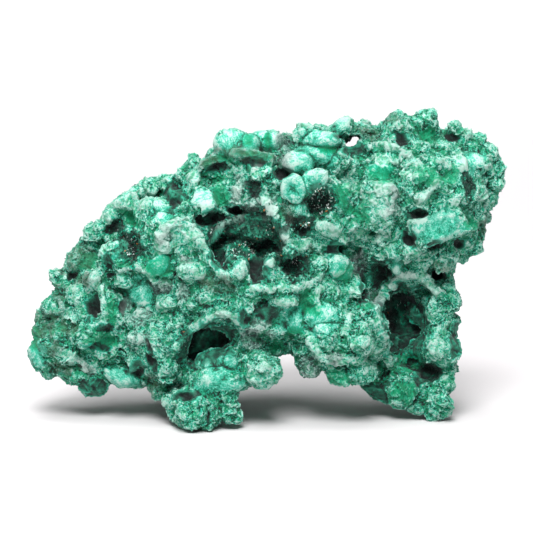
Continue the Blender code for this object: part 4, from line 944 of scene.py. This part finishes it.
def slope(toward_seed, chance, steep):
    """The height of a flat face that tilts its own way in each cell."""
    tilt = unit(np.stack(
        [np.sin(chance * 91.0), np.sin(chance * 57.0 + 2.0), np.sin(chance * 33.0 + 4.0)], axis=1
    ))
    return -(toward_seed * tilt).sum(axis=1) * steep


inner, toward_seed, chance = cells(points, 2.9, 1, 0.4)
mid_inner, mid_toward, mid_chance = cells(points, 1.35, 2, 0.35)
fine_inner, fine_toward, fine_chance = cells(points, 0.66, 4, 0.3)
print("cells grown")

# %% [markdown]
# A cushion cell bulges, a cup sinks and keeps a rim, and a broken face tilts.  Smooth patches keep their
# own form, hollows sink a little further, and thin cracks and veins wind over everything.

# %% Sculpt the crust
def round_top(inner):
    return np.sqrt(np.clip(1.0 - inner**2, 0.0, 1.0))


def rim(inner, at, width):
    return np.exp(-(((inner - at) / width) ** 2))


smooth = felt["silk"] + 0.6 * felt["deep"] + 0.5 * felt["druse"] + 0.45 * felt["pale"] + 0.15 * on_lump
smooth = np.clip(smooth, 0.0, 1.0)
kind = chance * 10.0
bulge = 0.7 * round_top(inner) - 0.35
cup = -0.8 * (1.0 - inner**2) + 0.35 * rim(inner, 0.88, 0.1)
face = slope(toward_seed, chance, 0.55)
shape = np.where(kind < 3.5, 1.2 * bulge, np.where(kind < 7.0, cup, face))
mid_kind = mid_chance * 10.0
mid_cup = -0.8 * (1.0 - mid_inner**2) + 0.3 * rim(mid_inner, 0.86, 0.12)
mid_shape = np.where(
    mid_kind < 2.0,
    round_top(mid_inner) - 0.5,
    np.where(mid_kind < 6.0, mid_cup, slope(mid_toward, mid_chance, 1.1)),
)
fine_shape = np.where(fine_chance < 0.55, round_top(fine_inner) - 0.5, slope(fine_toward, fine_chance, 2.0))
rough = 1.0 - smooth
push = rough * (0.40 * shape + 0.20 * mid_shape) + (0.09 * rough + 0.02) * fine_shape
push += smooth * (0.09 * shape + 0.04 * mid_shape)
push -= 0.28 * smooth_step(0.06, 0.0, np.abs(chance_field(points, 5.0, 4))) * (1.0 - 0.8 * smooth)
push -= 0.16 * seam
push += 0.34 * smooth_step(0.07, 0.0, np.abs(chance_field(points, 3.2, 7))) * (1.0 - 0.8 * smooth)
push += 0.20 * smooth_step(0.08, 0.0, np.abs(chance_field(points, 1.7, 9))) * rough
LIFTS = {"silk": 0.2, "pale": 0.25, "emerald": -0.2, "deep": -0.45, "druse": -0.2, "frost": 0.1}
for finish, lift in LIFTS.items():
    rise = round_top(nearest[finish]) if lift > 0 else 1.0 - nearest[finish] ** 2
    push += lift * rise * felt[finish]
points = points + direction * push[:, None]
points[:, 2] = np.maximum(points[:, 2], 0.0)
write_points(stone, points)
print("pushed", round(float(push.min()), 2), "to", round(float(push.max()), 2), "mm")

# %% Keep the shape with fewer faces
full_points = points.copy()
stone.data.calc_loop_triangles()
thin = stone.modifiers.new("thin out", "DECIMATE")
thin.ratio = min(1.0, FACES_WANTED / len(stone.data.loop_triangles))
thin.use_collapse_triangulate = True
apply_modifiers(stone)
alone(stone)
bpy.ops.object.mode_set(mode="EDIT")
bpy.ops.mesh.select_mode(type="VERT")
bpy.ops.mesh.select_all(action="DESELECT")
bpy.ops.mesh.select_non_manifold(use_multi_face=False, use_non_contiguous=False, use_verts=False)
bpy.ops.mesh.delete(type="FACE")                 # single flaps that the thinning left
bpy.ops.object.mode_set(mode="OBJECT")
points, facing, pairs = read_points(stone)
print("points on the display side:", round(100 * float((facing @ np.array(into_stone()) < 0.0).mean())), "%")
lookup = KDTree(len(full_points))
for index, point in enumerate(full_points.tolist()):
    lookup.insert(point, index)
lookup.balance()
origin = np.array([lookup.find(point)[1] for point in points.tolist()])
jitter = np.random.default_rng(2).normal(0.0, ROUGHENED, len(points)) * np.clip(rough[origin], 0.15, 1.0)
points = points + facing * jitter[:, None]
points[:, 2] = np.maximum(points[:, 2], 0.0)
write_points(stone, points)
points, facing, pairs = read_points(stone)
stone.data.calc_loop_triangles()
print("stone:", len(stone.data.loop_triangles), "triangles")

# %% [markdown]
# Light reaches a spot less the deeper it sits, and malachite is palest where it was chafed.  So each point
# gets a CREST value, high on edges and low in creases, and a SHADE value, high in deep places.  The colour
# uses SHADE as painted shade, and CREST both for pale chafed edges and as painted highlight on edges and
# painted shade in creases.

# %% Measure crests and shade
def height_over(points, facing, pairs, times):
    return ((points - spread(points, pairs, times)) * unit(spread(facing, pairs, 2))).sum(axis=1)


crest = np.clip(height_over(points, facing, pairs, 4) / 0.11, -1.0, 1.0)
bulk = np.clip(height_over(points, facing, pairs, 30) / 0.5, -1.0, 1.0)


def deep_shade(thing, points, facing, reach, rays):
    """The share of chance rays from each point that meet stone again within this reach."""
    tree = surface_of(thing)
    rng = np.random.default_rng(3)
    fan = unit(rng.normal(size=(rays, 3)))
    met = np.zeros(len(points))
    starts = (points + facing * 0.12) * MM
    for ray in fan:
        turned = unit(facing * 1.05 + ray)
        met += [
            tree.ray_cast(start, way, reach * MM)[0] is not None
            for start, way in zip(starts.tolist(), turned.tolist())
        ]
    return spread(met / rays, pairs, 2)


shade = deep_shade(stone, points, facing, SHADE_REACH, SHADE_RAYS)
print("mean shade", round(float(shade.mean()), 2))

# %% Write what the colour needs onto the stone
def write_value(thing, name, values):
    attribute = thing.data.attributes.new(name, "FLOAT", "POINT")
    attribute.data.foreach_set("value", values.astype(np.float32))


def write_vector(thing, name, vectors):
    attribute = thing.data.attributes.new(name, "FLOAT_VECTOR", "POINT")
    attribute.data.foreach_set("vector", vectors.astype(np.float32).ravel())


for finish, share in felt.items():
    write_value(stone, finish, share[origin])
for title, values in (
    ("crest", crest),
    ("bulk", bulk),
    ("shade", shade),
    ("chance", chance[origin]),
    ("mid_chance", mid_chance[origin]),
    ("fine_chance", fine_chance[origin]),
    ("edge", np.where(on_lump > 0.5, lump_edge, inner)[origin]),
    ("lump_chance", np.where(on_lump > 0.5, lump_chance, chance)[origin]),
    ("seam", seam[origin]),
):
    write_value(stone, title, values)
fibre = unit(-toward_seed + direction * 1.2) + chance[:, None] * 7.0
fan = np.column_stack([lump_way, 7.0 * lump_number + 0.4 * lump_edge])
fibre = np.where((on_lump > 0.5)[:, None], fan, fibre)[origin]
write_vector(stone, "fibre", fibre)
print("written:", [attribute.name for attribute in stone.data.attributes if not attribute.is_internal])

# %% [markdown]
# The dark velvet in the hollows is a coat of tiny crystals.  One crystal is modelled, a short needle with a
# point at each end, and it is repeated thousands of times over the velvet patches, leaning every way.

# %% One crystal, repeated over the velvet
bpy.ops.object.select_all(action="DESELECT")
bpy.ops.mesh.primitive_ico_sphere_add(subdivisions=1, radius=1.0)
needle = name_active("needle")
bpy.ops.object.mode_set(mode="EDIT")
bpy.ops.mesh.select_all(action="SELECT")
bpy.ops.transform.resize(value=(0.42, 0.34, 1.0))
bpy.ops.object.mode_set(mode="OBJECT")
needle_points = read_points(needle)[0] * MM
needle.data.calc_loop_triangles()
needle_faces = np.array([face.vertices[:] for face in needle.data.loop_triangles])
bpy.data.objects.remove(needle)


def crystal_coat(name, mask, count, sizes, seed):
    """Crystals of these sizes, in millimetres, standing on the points where the mask is high."""
    rng = np.random.default_rng(seed)
    chosen = rng.choice(len(points), count, p=mask / mask.sum())
    size = rng.uniform(0.0, 1.0, count) ** 2 * (sizes[1] - sizes[0]) + sizes[0]
    up = unit(facing[chosen] + 0.9 * unit(rng.normal(size=(count, 3))))
    aside = unit(np.cross(up, rng.normal(size=(count, 3))))
    ahead = np.cross(up, aside)
    forms = needle_points[None] * size[:, None, None]
    placed = (
        points[chosen][:, None]
        + forms[:, :, :1] * aside[:, None]
        + forms[:, :, 1:2] * ahead[:, None]
        + forms[:, :, 2:] * up[:, None]
        + facing[chosen][:, None] * (0.35 * size)[:, None, None]
    ).reshape(-1, 3)
    placed[:, 2] = np.maximum(placed[:, 2], 0.0)
    faces = (needle_faces[None] + np.arange(count)[:, None, None] * len(needle_points)).reshape(-1, 3)
    mesh = bpy.data.meshes.new(name)
    mesh.from_pydata((placed * MM).tolist(), [], faces.tolist())
    coat = bpy.data.objects.new(name, mesh)
    bpy.context.collection.objects.link(coat)
    # A chance value per crystal: high values are painted pale to white as glints, and a narrow band of
    # middling values is a rust stain.
    rust_and_painted_glint = rng.uniform(0.0, 0.9, count)
    across_there, up_there = read_off(*(points[chosen] + np.array(MIDDLE)).T)
    for across, up, reach in PAINTED_GLINT_SPOTS:
        close = np.hypot(across_there - across, up_there - up) < reach
        rust_and_painted_glint[close] = np.maximum(rust_and_painted_glint[close], rng.uniform(0.75, 1.0, close.sum()))
    write_value(coat, "rust_and_painted_glint", np.repeat(rust_and_painted_glint, len(needle_points)))
    print(name, ":", count, "crystals,", len(faces), "triangles")
    return coat


# Where crystals are painted white as glints, seen from the display side: across, up and reach.
PAINTED_GLINT_SPOTS = [
    (9.6, 40.6, 2.2), (10.4, 38.6, 1.2), (0.6, 35.2, 1.0), (-10.2, 35.0, 0.8), (-3.4, 31.4, 1.8),
    (-5.6, 31.0, 1.0), (-24.0, 31.4, 1.0), (-23.4, 33.6, 0.7), (24.6, 21.4, 1.2), (26.0, 17.6, 0.9),
    (6.8, 36.0, 0.8), (5.4, 29.4, 0.8),
]
velvet = np.clip(felt["druse"][origin] - 0.35, 0.0, 1.0)
crystals = crystal_coat("malachite_crystals", velvet, CRYSTAL_COUNT, CRYSTAL_SIZES, 8)

# %% [markdown]
# The finish.  All of the colour comes from one thing, how PALE a spot is: thick, sound fibres look nearly
# black-green, and the thinner, more broken or more chafed they are, the more light they scatter, through
# emerald and mint to a chalky white.  Paleness also carries painted light and shade: it rises on crests,
# on swells and towards the top, and falls in creases, between lumps, in deep places and in the hollows.
# So every effect below only adds to paleness or takes from it, and one ramp turns it into colour.

# %% Wiring tools
class Wires:
    """Adds nodes to a node tree and gives back their outputs."""

    def __init__(self, tree):
        self.tree = tree

    def node(self, kind, feeds, **settings):
        made = self.tree.nodes.new(kind)
        for name, value in settings.items():
            setattr(made, name, value)
        for name, value in feeds.items():
            if isinstance(value, bpy.types.NodeSocket):
                self.tree.links.new(value, made.inputs[name])
            else:
                made.inputs[name].default_value = value
        return made

    def link(self, value, socket):
        self.tree.links.new(value, socket)

    def noise(self, place, scale, detail, **more):
        """Soft noise at a place.  More may set its Roughness or Distortion."""
        feeds = {"Vector": place, "Scale": scale, "Detail": detail, **more}
        return self.node("ShaderNodeTexNoise", feeds).outputs["Fac"]

    def group(self, tree, **feeds):
        """A group used as one node, with what it is fed.  Gives back its outputs."""
        return self.node("ShaderNodeGroup", feeds, node_tree=tree).outputs

    def sum(self, operation, first, second=0.0, third=0.0):
        return self.node("ShaderNodeMath", {0: first, 1: second, 2: third}, operation=operation).outputs[0]

    def read(self, name, output="Fac"):
        return self.node("ShaderNodeAttribute", {}, attribute_name=name).outputs[output]

    def fit(self, value, low, high, to_low=0.0, to_high=1.0):
        feeds = {"Value": value, "From Min": low, "From Max": high, "To Min": to_low, "To Max": to_high}
        return self.node("ShaderNodeMapRange", feeds, clamp=True).outputs["Result"]

    def blend(self, share, first, second):
        mix = self.node("ShaderNodeMix", {}, data_type="RGBA")
        for name, value in (("Factor_Float", share), ("A_Color", first), ("B_Color", second)):
            socket = next(item for item in mix.inputs if item.identifier == name)
            if isinstance(value, bpy.types.NodeSocket):
                self.tree.links.new(value, socket)
            else:
                socket.default_value = value
        return next(item for item in mix.outputs if item.identifier == "Result_Color")


def new_group(name, inputs, outputs):
    tree = bpy.data.node_groups.new(name, "ShaderNodeTree")
    for title, kind in inputs:
        tree.interface.new_socket(title, in_out="INPUT", socket_type=kind)
    for title, kind in outputs:
        tree.interface.new_socket(title, in_out="OUTPUT", socket_type=kind)
    return Wires(tree), tree.nodes.new("NodeGroupInput").outputs, tree.nodes.new("NodeGroupOutput").inputs

# %% The effects, as groups
EFFECTS = ("Grain", "Mottle", "Relief", "Wisps", "Cracks", "Specks")
wires, given, result = new_group(
    "mineral grain", [("Place", "NodeSocketVector")], [(title, "NodeSocketFloat") for title in EFFECTS]
)
place = given["Place"]
domes = [
    wires.fit(
        wires.node("ShaderNodeTexVoronoi", {"Vector": place, "Scale": scale, "Randomness": 1.0})
        .outputs["Distance"], 0.0, reach, 1.0, 0.0,
    )
    for scale, reach in ((2.9, 0.75), (1.35, 0.8))
]
relief = wires.sum("MULTIPLY_ADD", domes[0], 0.5, wires.sum("MULTIPLY", domes[1], 0.5))
speckle = wires.fit(wires.noise(place, 3.4, 3.0, Roughness=0.7), 0.3, 0.7)
grain = wires.sum("MULTIPLY_ADD", speckle, 0.6, wires.sum("MULTIPLY", relief, 0.4))
cloud = wires.noise(place, 0.62, 4.0, Roughness=0.62)
gate = wires.fit(cloud, 0.42, 0.58)
thread = wires.noise(place, 0.95, 3.0, Distortion=0.8)
thin = wires.noise(place, 1.9, 2.0, Distortion=0.6)
from_middle = [wires.sum("ABSOLUTE", wires.sum("SUBTRACT", web, 0.5)) for web in (thread, thin)]
wisps = wires.sum("MULTIPLY", wires.fit(from_middle[0], 0.0, 0.05, 1.0, 0.0), gate)
cracks = wires.sum(
    "MULTIPLY", wires.fit(from_middle[1], 0.0, 0.045, 1.0, 0.0), wires.sum("SUBTRACT", 1.0, gate)
)
specks = wires.fit(wires.noise(place, 3.6, 2.0, Roughness=0.85), 0.34, 0.66, -1.0, 1.0)
for title, value in zip(EFFECTS, (grain, wires.fit(cloud, 0.3, 0.7), relief, wisps, cracks, specks)):
    wires.link(value, result[title])
mineral_grain = wires.tree

wires, given, result = new_group(
    "silk fibres", [("Fan", "NodeSocketVector")], [("Streak", "NodeSocketFloat")]
)
broad = wires.noise(given["Fan"], 5.0, 2.0, Roughness=0.6)
narrow = wires.noise(given["Fan"], 17.0, 2.0, Roughness=0.7)
streak = wires.sum("MULTIPLY_ADD", broad, 0.40, wires.sum("MULTIPLY", narrow, 0.60))
wires.link(wires.fit(streak, 0.36, 0.64), result["Streak"])
silk_fibres = wires.tree

# Paleness, then linear red, green and blue.
PALETTE = [
    (0.00, 0.003, 0.010, 0.008), (0.14, 0.002, 0.034, 0.022), (0.30, 0.001, 0.110, 0.060),
    (0.46, 0.001, 0.252, 0.146), (0.62, 0.001, 0.372, 0.238), (0.80, 0.046, 0.445, 0.318),
    (1.00, 0.320, 0.535, 0.452),
]
DUST = [
    (0.00, 0.006, 0.011, 0.010), (0.30, 0.030, 0.052, 0.048), (0.60, 0.120, 0.185, 0.165),
    (1.00, 0.440, 0.560, 0.510),
]


def colour_group(name, colours):
    """A group that turns paleness into a colour: position, linear red, green, blue."""
    wires, given, result = new_group(
        name, [("Paleness", "NodeSocketFloat")], [("Color", "NodeSocketColor")]
    )
    ramp = wires.node("ShaderNodeValToRGB", {"Fac": given["Paleness"]})
    stops = ramp.color_ramp.elements
    stops[0].position, stops[1].position = colours[0][0], colours[-1][0]
    for position, *_ in colours[1:-1]:
        stops.new(position)
    for stop, (_, *mixed) in zip(stops, colours):
        stop.color = (*mixed, 1.0)
    wires.link(ramp.outputs["Color"], result["Color"])
    return wires.tree


malachite_colour = colour_group("malachite colour", PALETTE)
dusty_colour = colour_group("dusty colour", DUST)
print("effects:", [tree.name for tree in (mineral_grain, silk_fibres, malachite_colour, dusty_colour)])

# %% The crust's finish
def new_material(name):
    material = bpy.data.materials.new(name)
    material.use_nodes = True
    return material, Wires(material.node_tree), material.node_tree.nodes["Principled BSDF"]


crust, wires, surface_node = new_material("malachite crust")
place = wires.node("ShaderNodeTexCoord", {}).outputs["Object"]
place = wires.node("ShaderNodeVectorMath", {0: place, "Scale": 1.0 / MM}, operation="SCALE").outputs[0]
grain = wires.group(mineral_grain, Place=place)
streak = wires.group(silk_fibres, Fan=wires.read("fibre", "Vector"))["Streak"]
patch = {finish: wires.read(finish) for finish in PATCHES}
crest_wear_and_painted_light = wires.read("crest")


def weigh(*parts):
    """The sum of each value times its weight, as one output."""
    total = 0.0
    for value, weight in parts:
        total = wires.sum("MULTIPLY_ADD", value, weight, total)
    return total


def centred(value, weight):
    """A value from 0 to 1, weighed so that it adds as much as it takes."""
    return wires.sum("SUBTRACT", value, 0.5), weight


def roughly(value, weight):
    """A value that counts only where the crust isn't smooth."""
    return wires.sum("MULTIPLY", value, rough_share), weight


even = wires.fit(weigh((patch["silk"], 0.8), (patch["deep"], 0.6), (patch["frost"], 0.4)), 0.0, 1.0)
rough_share = wires.sum("SUBTRACT", 1.0, even)
from_grain = wires.sum("SUBTRACT", grain["Grain"], 0.5)
lit = weigh(
    roughly(from_grain, 0.60),
    roughly(grain["Specks"], 0.40),
    (grain["Specks"], 0.10),
    centred(streak, 0.52),
    roughly(wires.sum("SUBTRACT", grain["Mottle"], 0.5), 0.24),
    centred(wires.read("chance"), 0.14),
    centred(wires.read("mid_chance"), 0.16),
    centred(wires.read("fine_chance"), 0.16),
    centred(wires.read("lump_chance"), 0.15),
    centred(wires.read("edge"), 0.12),
    # Painted shade in the crease where two lumps meet.
    (wires.read("seam"), -0.10),
    roughly(grain["Wisps"], 0.30),
    roughly(grain["Cracks"], -0.22),
    # Partly pale chafed edges, partly painted highlight on edges and painted shade in creases.
    (crest_wear_and_painted_light, 0.30),
    # Painted light and shade of the larger forms: paler where the crust swells, darker where it dips.
    (wires.read("bulk"), 0.17),
    # Painted shade: darker where chance rays meet stone again, in deep places.
    (wires.read("shade"), -0.22),
    (patch["silk"], -0.13),
    (patch["pale"], 0.22),
    (patch["emerald"], -0.14),
    (patch["frost"], 0.08),
)
# Painted light from above: the crust is paler towards the top.
height = wires.node("ShaderNodeSeparateXYZ", {"Vector": place}).outputs["Z"]
lit = wires.sum("ADD", lit, wires.fit(height, 4.0, 50.0, 0.59, 0.71))
# Paleness inside the DEEP and DRUSE patches, with the same painted light and shade of crests and forms.
unlit = weigh(
    roughly(from_grain, 0.36), (crest_wear_and_painted_light, 0.16), (wires.read("bulk"), 0.12),
    centred(streak, 0.12), centred(wires.read("lump_chance"), 0.10),
)
unlit = wires.sum("ADD", unlit, 0.25)
# DEEP darkens the walls of the hollows with painted shade; DRUSE is the velvet's own dark colour.
dark = wires.fit(weigh((patch["deep"], 0.9), (patch["druse"], 1.0)), 0.0, 0.85)
paleness = weigh((wires.sum("MULTIPLY", lit, wires.sum("SUBTRACT", 1.0, dark)), 1.0), (unlit, dark))
paleness = wires.fit(paleness, 0.0, 1.0)
colour = wires.group(malachite_colour, Paleness=paleness)["Color"]
dust = wires.group(dusty_colour, Paleness=paleness)["Color"]
chalk = wires.noise(place, 0.42, 4.0, Roughness=0.7)
dusty = weigh(
    (wires.fit(chalk, 0.50, 0.63), 0.12),
    (grain["Wisps"], 0.14),
    (wires.fit(crest_wear_and_painted_light, 0.2, 1.0), 0.10),
    (wires.fit(grain["Specks"], 0.3, 1.0), 0.08),
    (wires.fit(paleness, 0.80, 1.0), 0.12),
    (dark, 0.22),
    (patch["frost"], 0.50),
    (patch["mauve"], 0.60),
    (patch["silk"], 0.16),
    (patch["emerald"], -0.60),
)
greened = wires.blend(wires.fit(dusty, 0.0, 1.0, 0.0, 0.78), colour, dust)
mottled = wires.fit(grain["Mottle"], 0.2, 0.8, 0.3, 1.0)
stain = wires.noise(place, 0.9, 4.0, Roughness=0.75)
vivid = weigh(
    roughly(wires.fit(stain, 0.46, 0.58), 0.95),
    (patch["emerald"], 0.80),
    (dark, -1.0),
    (patch["frost"], -0.6),
    (wires.fit(crest_wear_and_painted_light, 0.2, 1.0), -0.4),
    (wires.fit(grain["Specks"], 0.2, 1.0), -0.4),
)
tinted = wires.blend(wires.fit(vivid, 0.0, 1.0, 0.0, 0.85), greened, (0.000, 0.250, 0.110, 1.0))
for finish, share, tint in (
    ("frost", 0.30, (0.250, 0.340, 0.300, 1.0)),
    ("mauve", 0.55, (0.060, 0.078, 0.082, 1.0)),
    ("rust", 0.70, (0.034, 0.052, 0.028, 1.0)),
):
    share = wires.sum("MULTIPLY", wires.sum("MULTIPLY", patch[finish], mottled), share)
    tinted = wires.blend(share, tinted, tint)
wires.link(tinted, surface_node.inputs["Base Color"])
roughness = weigh((grain["Grain"], 0.25), (patch["pale"], 0.2), (even, -0.18))
roughness = wires.fit(roughness, -0.2, 0.5, 0.36, 0.78)
wires.link(roughness, surface_node.inputs["Roughness"])
relief = weigh(
    roughly(grain["Relief"], 0.16),
    roughly(grain["Cracks"], -0.12),
    (streak, 0.05),
)
bump = wires.node("ShaderNodeBump", {"Height": relief, "Strength": 1.0, "Distance": MM})
wires.link(bump.outputs["Normal"], surface_node.inputs["Normal"])
surface_node.inputs["Sheen Weight"].default_value = 0.08
surface_node.inputs["Specular IOR Level"].default_value = 0.2
stone.data.materials.clear()
stone.data.materials.append(crust)

# %% The crystals' finish
glassy, wires, surface_node = new_material("malachite crystals")
# Painted glints: crystals with a high value are painted pale, then white; a narrow band of values is painted
# rust.
rust_and_painted_glint = wires.read("rust_and_painted_glint")
crystal_paleness_with_glints = wires.fit(rust_and_painted_glint, 0.80, 0.96, 0.16, 1.0)
colour = wires.group(malachite_colour, Paleness=crystal_paleness_with_glints)["Color"]
rusty = wires.sum("MULTIPLY", wires.fit(rust_and_painted_glint, 0.765, 0.77, 1.0, 0.0), wires.fit(rust_and_painted_glint, 0.755, 0.76))
colour_with_painted_glints = wires.blend(wires.fit(rust_and_painted_glint, 0.88, 0.96), colour, (0.70, 0.78, 0.74, 1.0))
tinted = wires.blend(rusty, colour_with_painted_glints, (0.45, 0.16, 0.045, 1.0))
wires.link(tinted, surface_node.inputs["Base Color"])
surface_node.inputs["Roughness"].default_value = 0.3
crystals.data.materials.append(glassy)

# %% [markdown]
# The crust is one grown skin of almost 400,000 faces, heavy for a program that opens it.  It is parted
# into a front and a back half that meet at a plane inside the stone.  Each half is what the skin shares
# with a box on its own side of the plane, which leaves both halves closed.

# %% Part the skin into a front and a back
def open_edges(thing):
    used = np.zeros(len(thing.data.loops), np.int32)
    thing.data.loops.foreach_get("edge_index", used)
    return int((np.bincount(used, minlength=len(thing.data.edges)) != 2).sum())


HALF_BOX = 0.3                                   # metres, well over the length of the stone
middle = float(np.median(points[:, 1])) * MM
print("open edges before the cut:", open_edges(stone))
alone(stone)
bpy.ops.object.duplicate()
back = name_active("malachite_crust_back")
stone.name = "malachite_crust_front"
for half, way in ((stone, -1.0), (back, 1.0)):
    bpy.ops.mesh.primitive_cube_add(size=HALF_BOX, location=(0.0, middle + way * HALF_BOX / 2, 0.0))
    side = name_active("side_box")
    bpy.ops.object.transform_apply(location=True, rotation=False, scale=False)
    cut_with(half, side, "INTERSECT")
    half.data.calc_loop_triangles()
    print(half.name, len(half.data.loop_triangles), "triangles,", open_edges(half), "open edges")

# %% Hand the pieces to the frame
for piece in (stone, back, crystals):
    alone(piece)
    bpy.ops.object.shade_smooth_by_angle(angle=SHARP_EDGE)
    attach(piece, "root")
    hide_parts("malachite")
print("pieces:", [(piece.name, len(piece.data.polygons)) for piece in (stone, back, crystals)])

# %% [markdown]
# The set is a white sheet in a pale room.  A large soft light hangs overhead and a key light stands in
# front of it, one lamp keeps the backdrop white, and a weak one fills the display side.

# %% Floor, lights and camera
bpy.ops.mesh.primitive_plane_add(size=12.0, location=(0.0, 2.0, 0.0))
floor = name_active("floor")
sheet, wires, surface_node = new_material("white sheet")
cloud = wires.node("ShaderNodeTexNoise", {"Scale": 3.0, "Detail": 1.0})
wires.link(
    wires.blend(cloud.outputs["Fac"], (0.60, 0.58, 0.59, 1.0), (0.64, 0.62, 0.63, 1.0)),
    surface_node.inputs["Base Color"],
)
surface_node.inputs["Roughness"].default_value = 0.9
floor.data.materials.append(sheet)

# name, place, aim, size and watts
LIGHTS = [
    ("overhead", (-0.04, 0.00, 0.74), (0.0, 0.0, 0.02), 0.60, 5.0),
    ("key", (-0.05, -0.46, 0.58), (0.0, 0.0, 0.02), 0.40, 8.0),
    ("backdrop light", (0.0, 1.00, 1.00), (0.0, 1.00, 0.0), 0.60, 8.0),
    ("front fill", (0.10, -0.85, 0.40), (0.0, 0.0, 0.03), 0.40, 0.1),
]
for title, at, aim, size, watts in LIGHTS:
    lamp = bpy.data.lights.new(title, "AREA")
    lamp.shape = "DISK"
    lamp.size = size
    lamp.energy = watts
    lamp.spread = math.radians(70.0 if title == "backdrop light" else 180.0)
    holder = bpy.data.objects.new(title, lamp)
    holder.location = at
    holder.rotation_euler = (Vector(aim) - Vector(at)).to_track_quat("-Z", "Y").to_euler()
    bpy.context.collection.objects.link(holder)

world = bpy.data.worlds.new("pale room")
world.use_nodes = True
background = world.node_tree.nodes["Background"]
background.inputs["Color"].default_value = (1.0, 1.0, 1.0, 1.0)
background.inputs["Strength"].default_value = 0.28
bpy.context.scene.world = world
bpy.context.scene.view_settings.view_transform = "Standard"

CAMERA_TARGET = Vector((0.00007, -0.00255, 0.02699))
CAMERA_DISTANCE = 0.661
lens = bpy.data.cameras.new("camera")
lens.lens = 250.0
lens.sensor_width = 36.0
lens.clip_start = 0.01
lens.clip_end = 50.0
camera = bpy.data.objects.new("camera", lens)
camera.location = CAMERA_TARGET - into_stone() * CAMERA_DISTANCE
camera.rotation_euler = into_stone().to_track_quat("-Z", "Y").to_euler()
bpy.context.collection.objects.link(camera)
bpy.context.scene.camera = camera
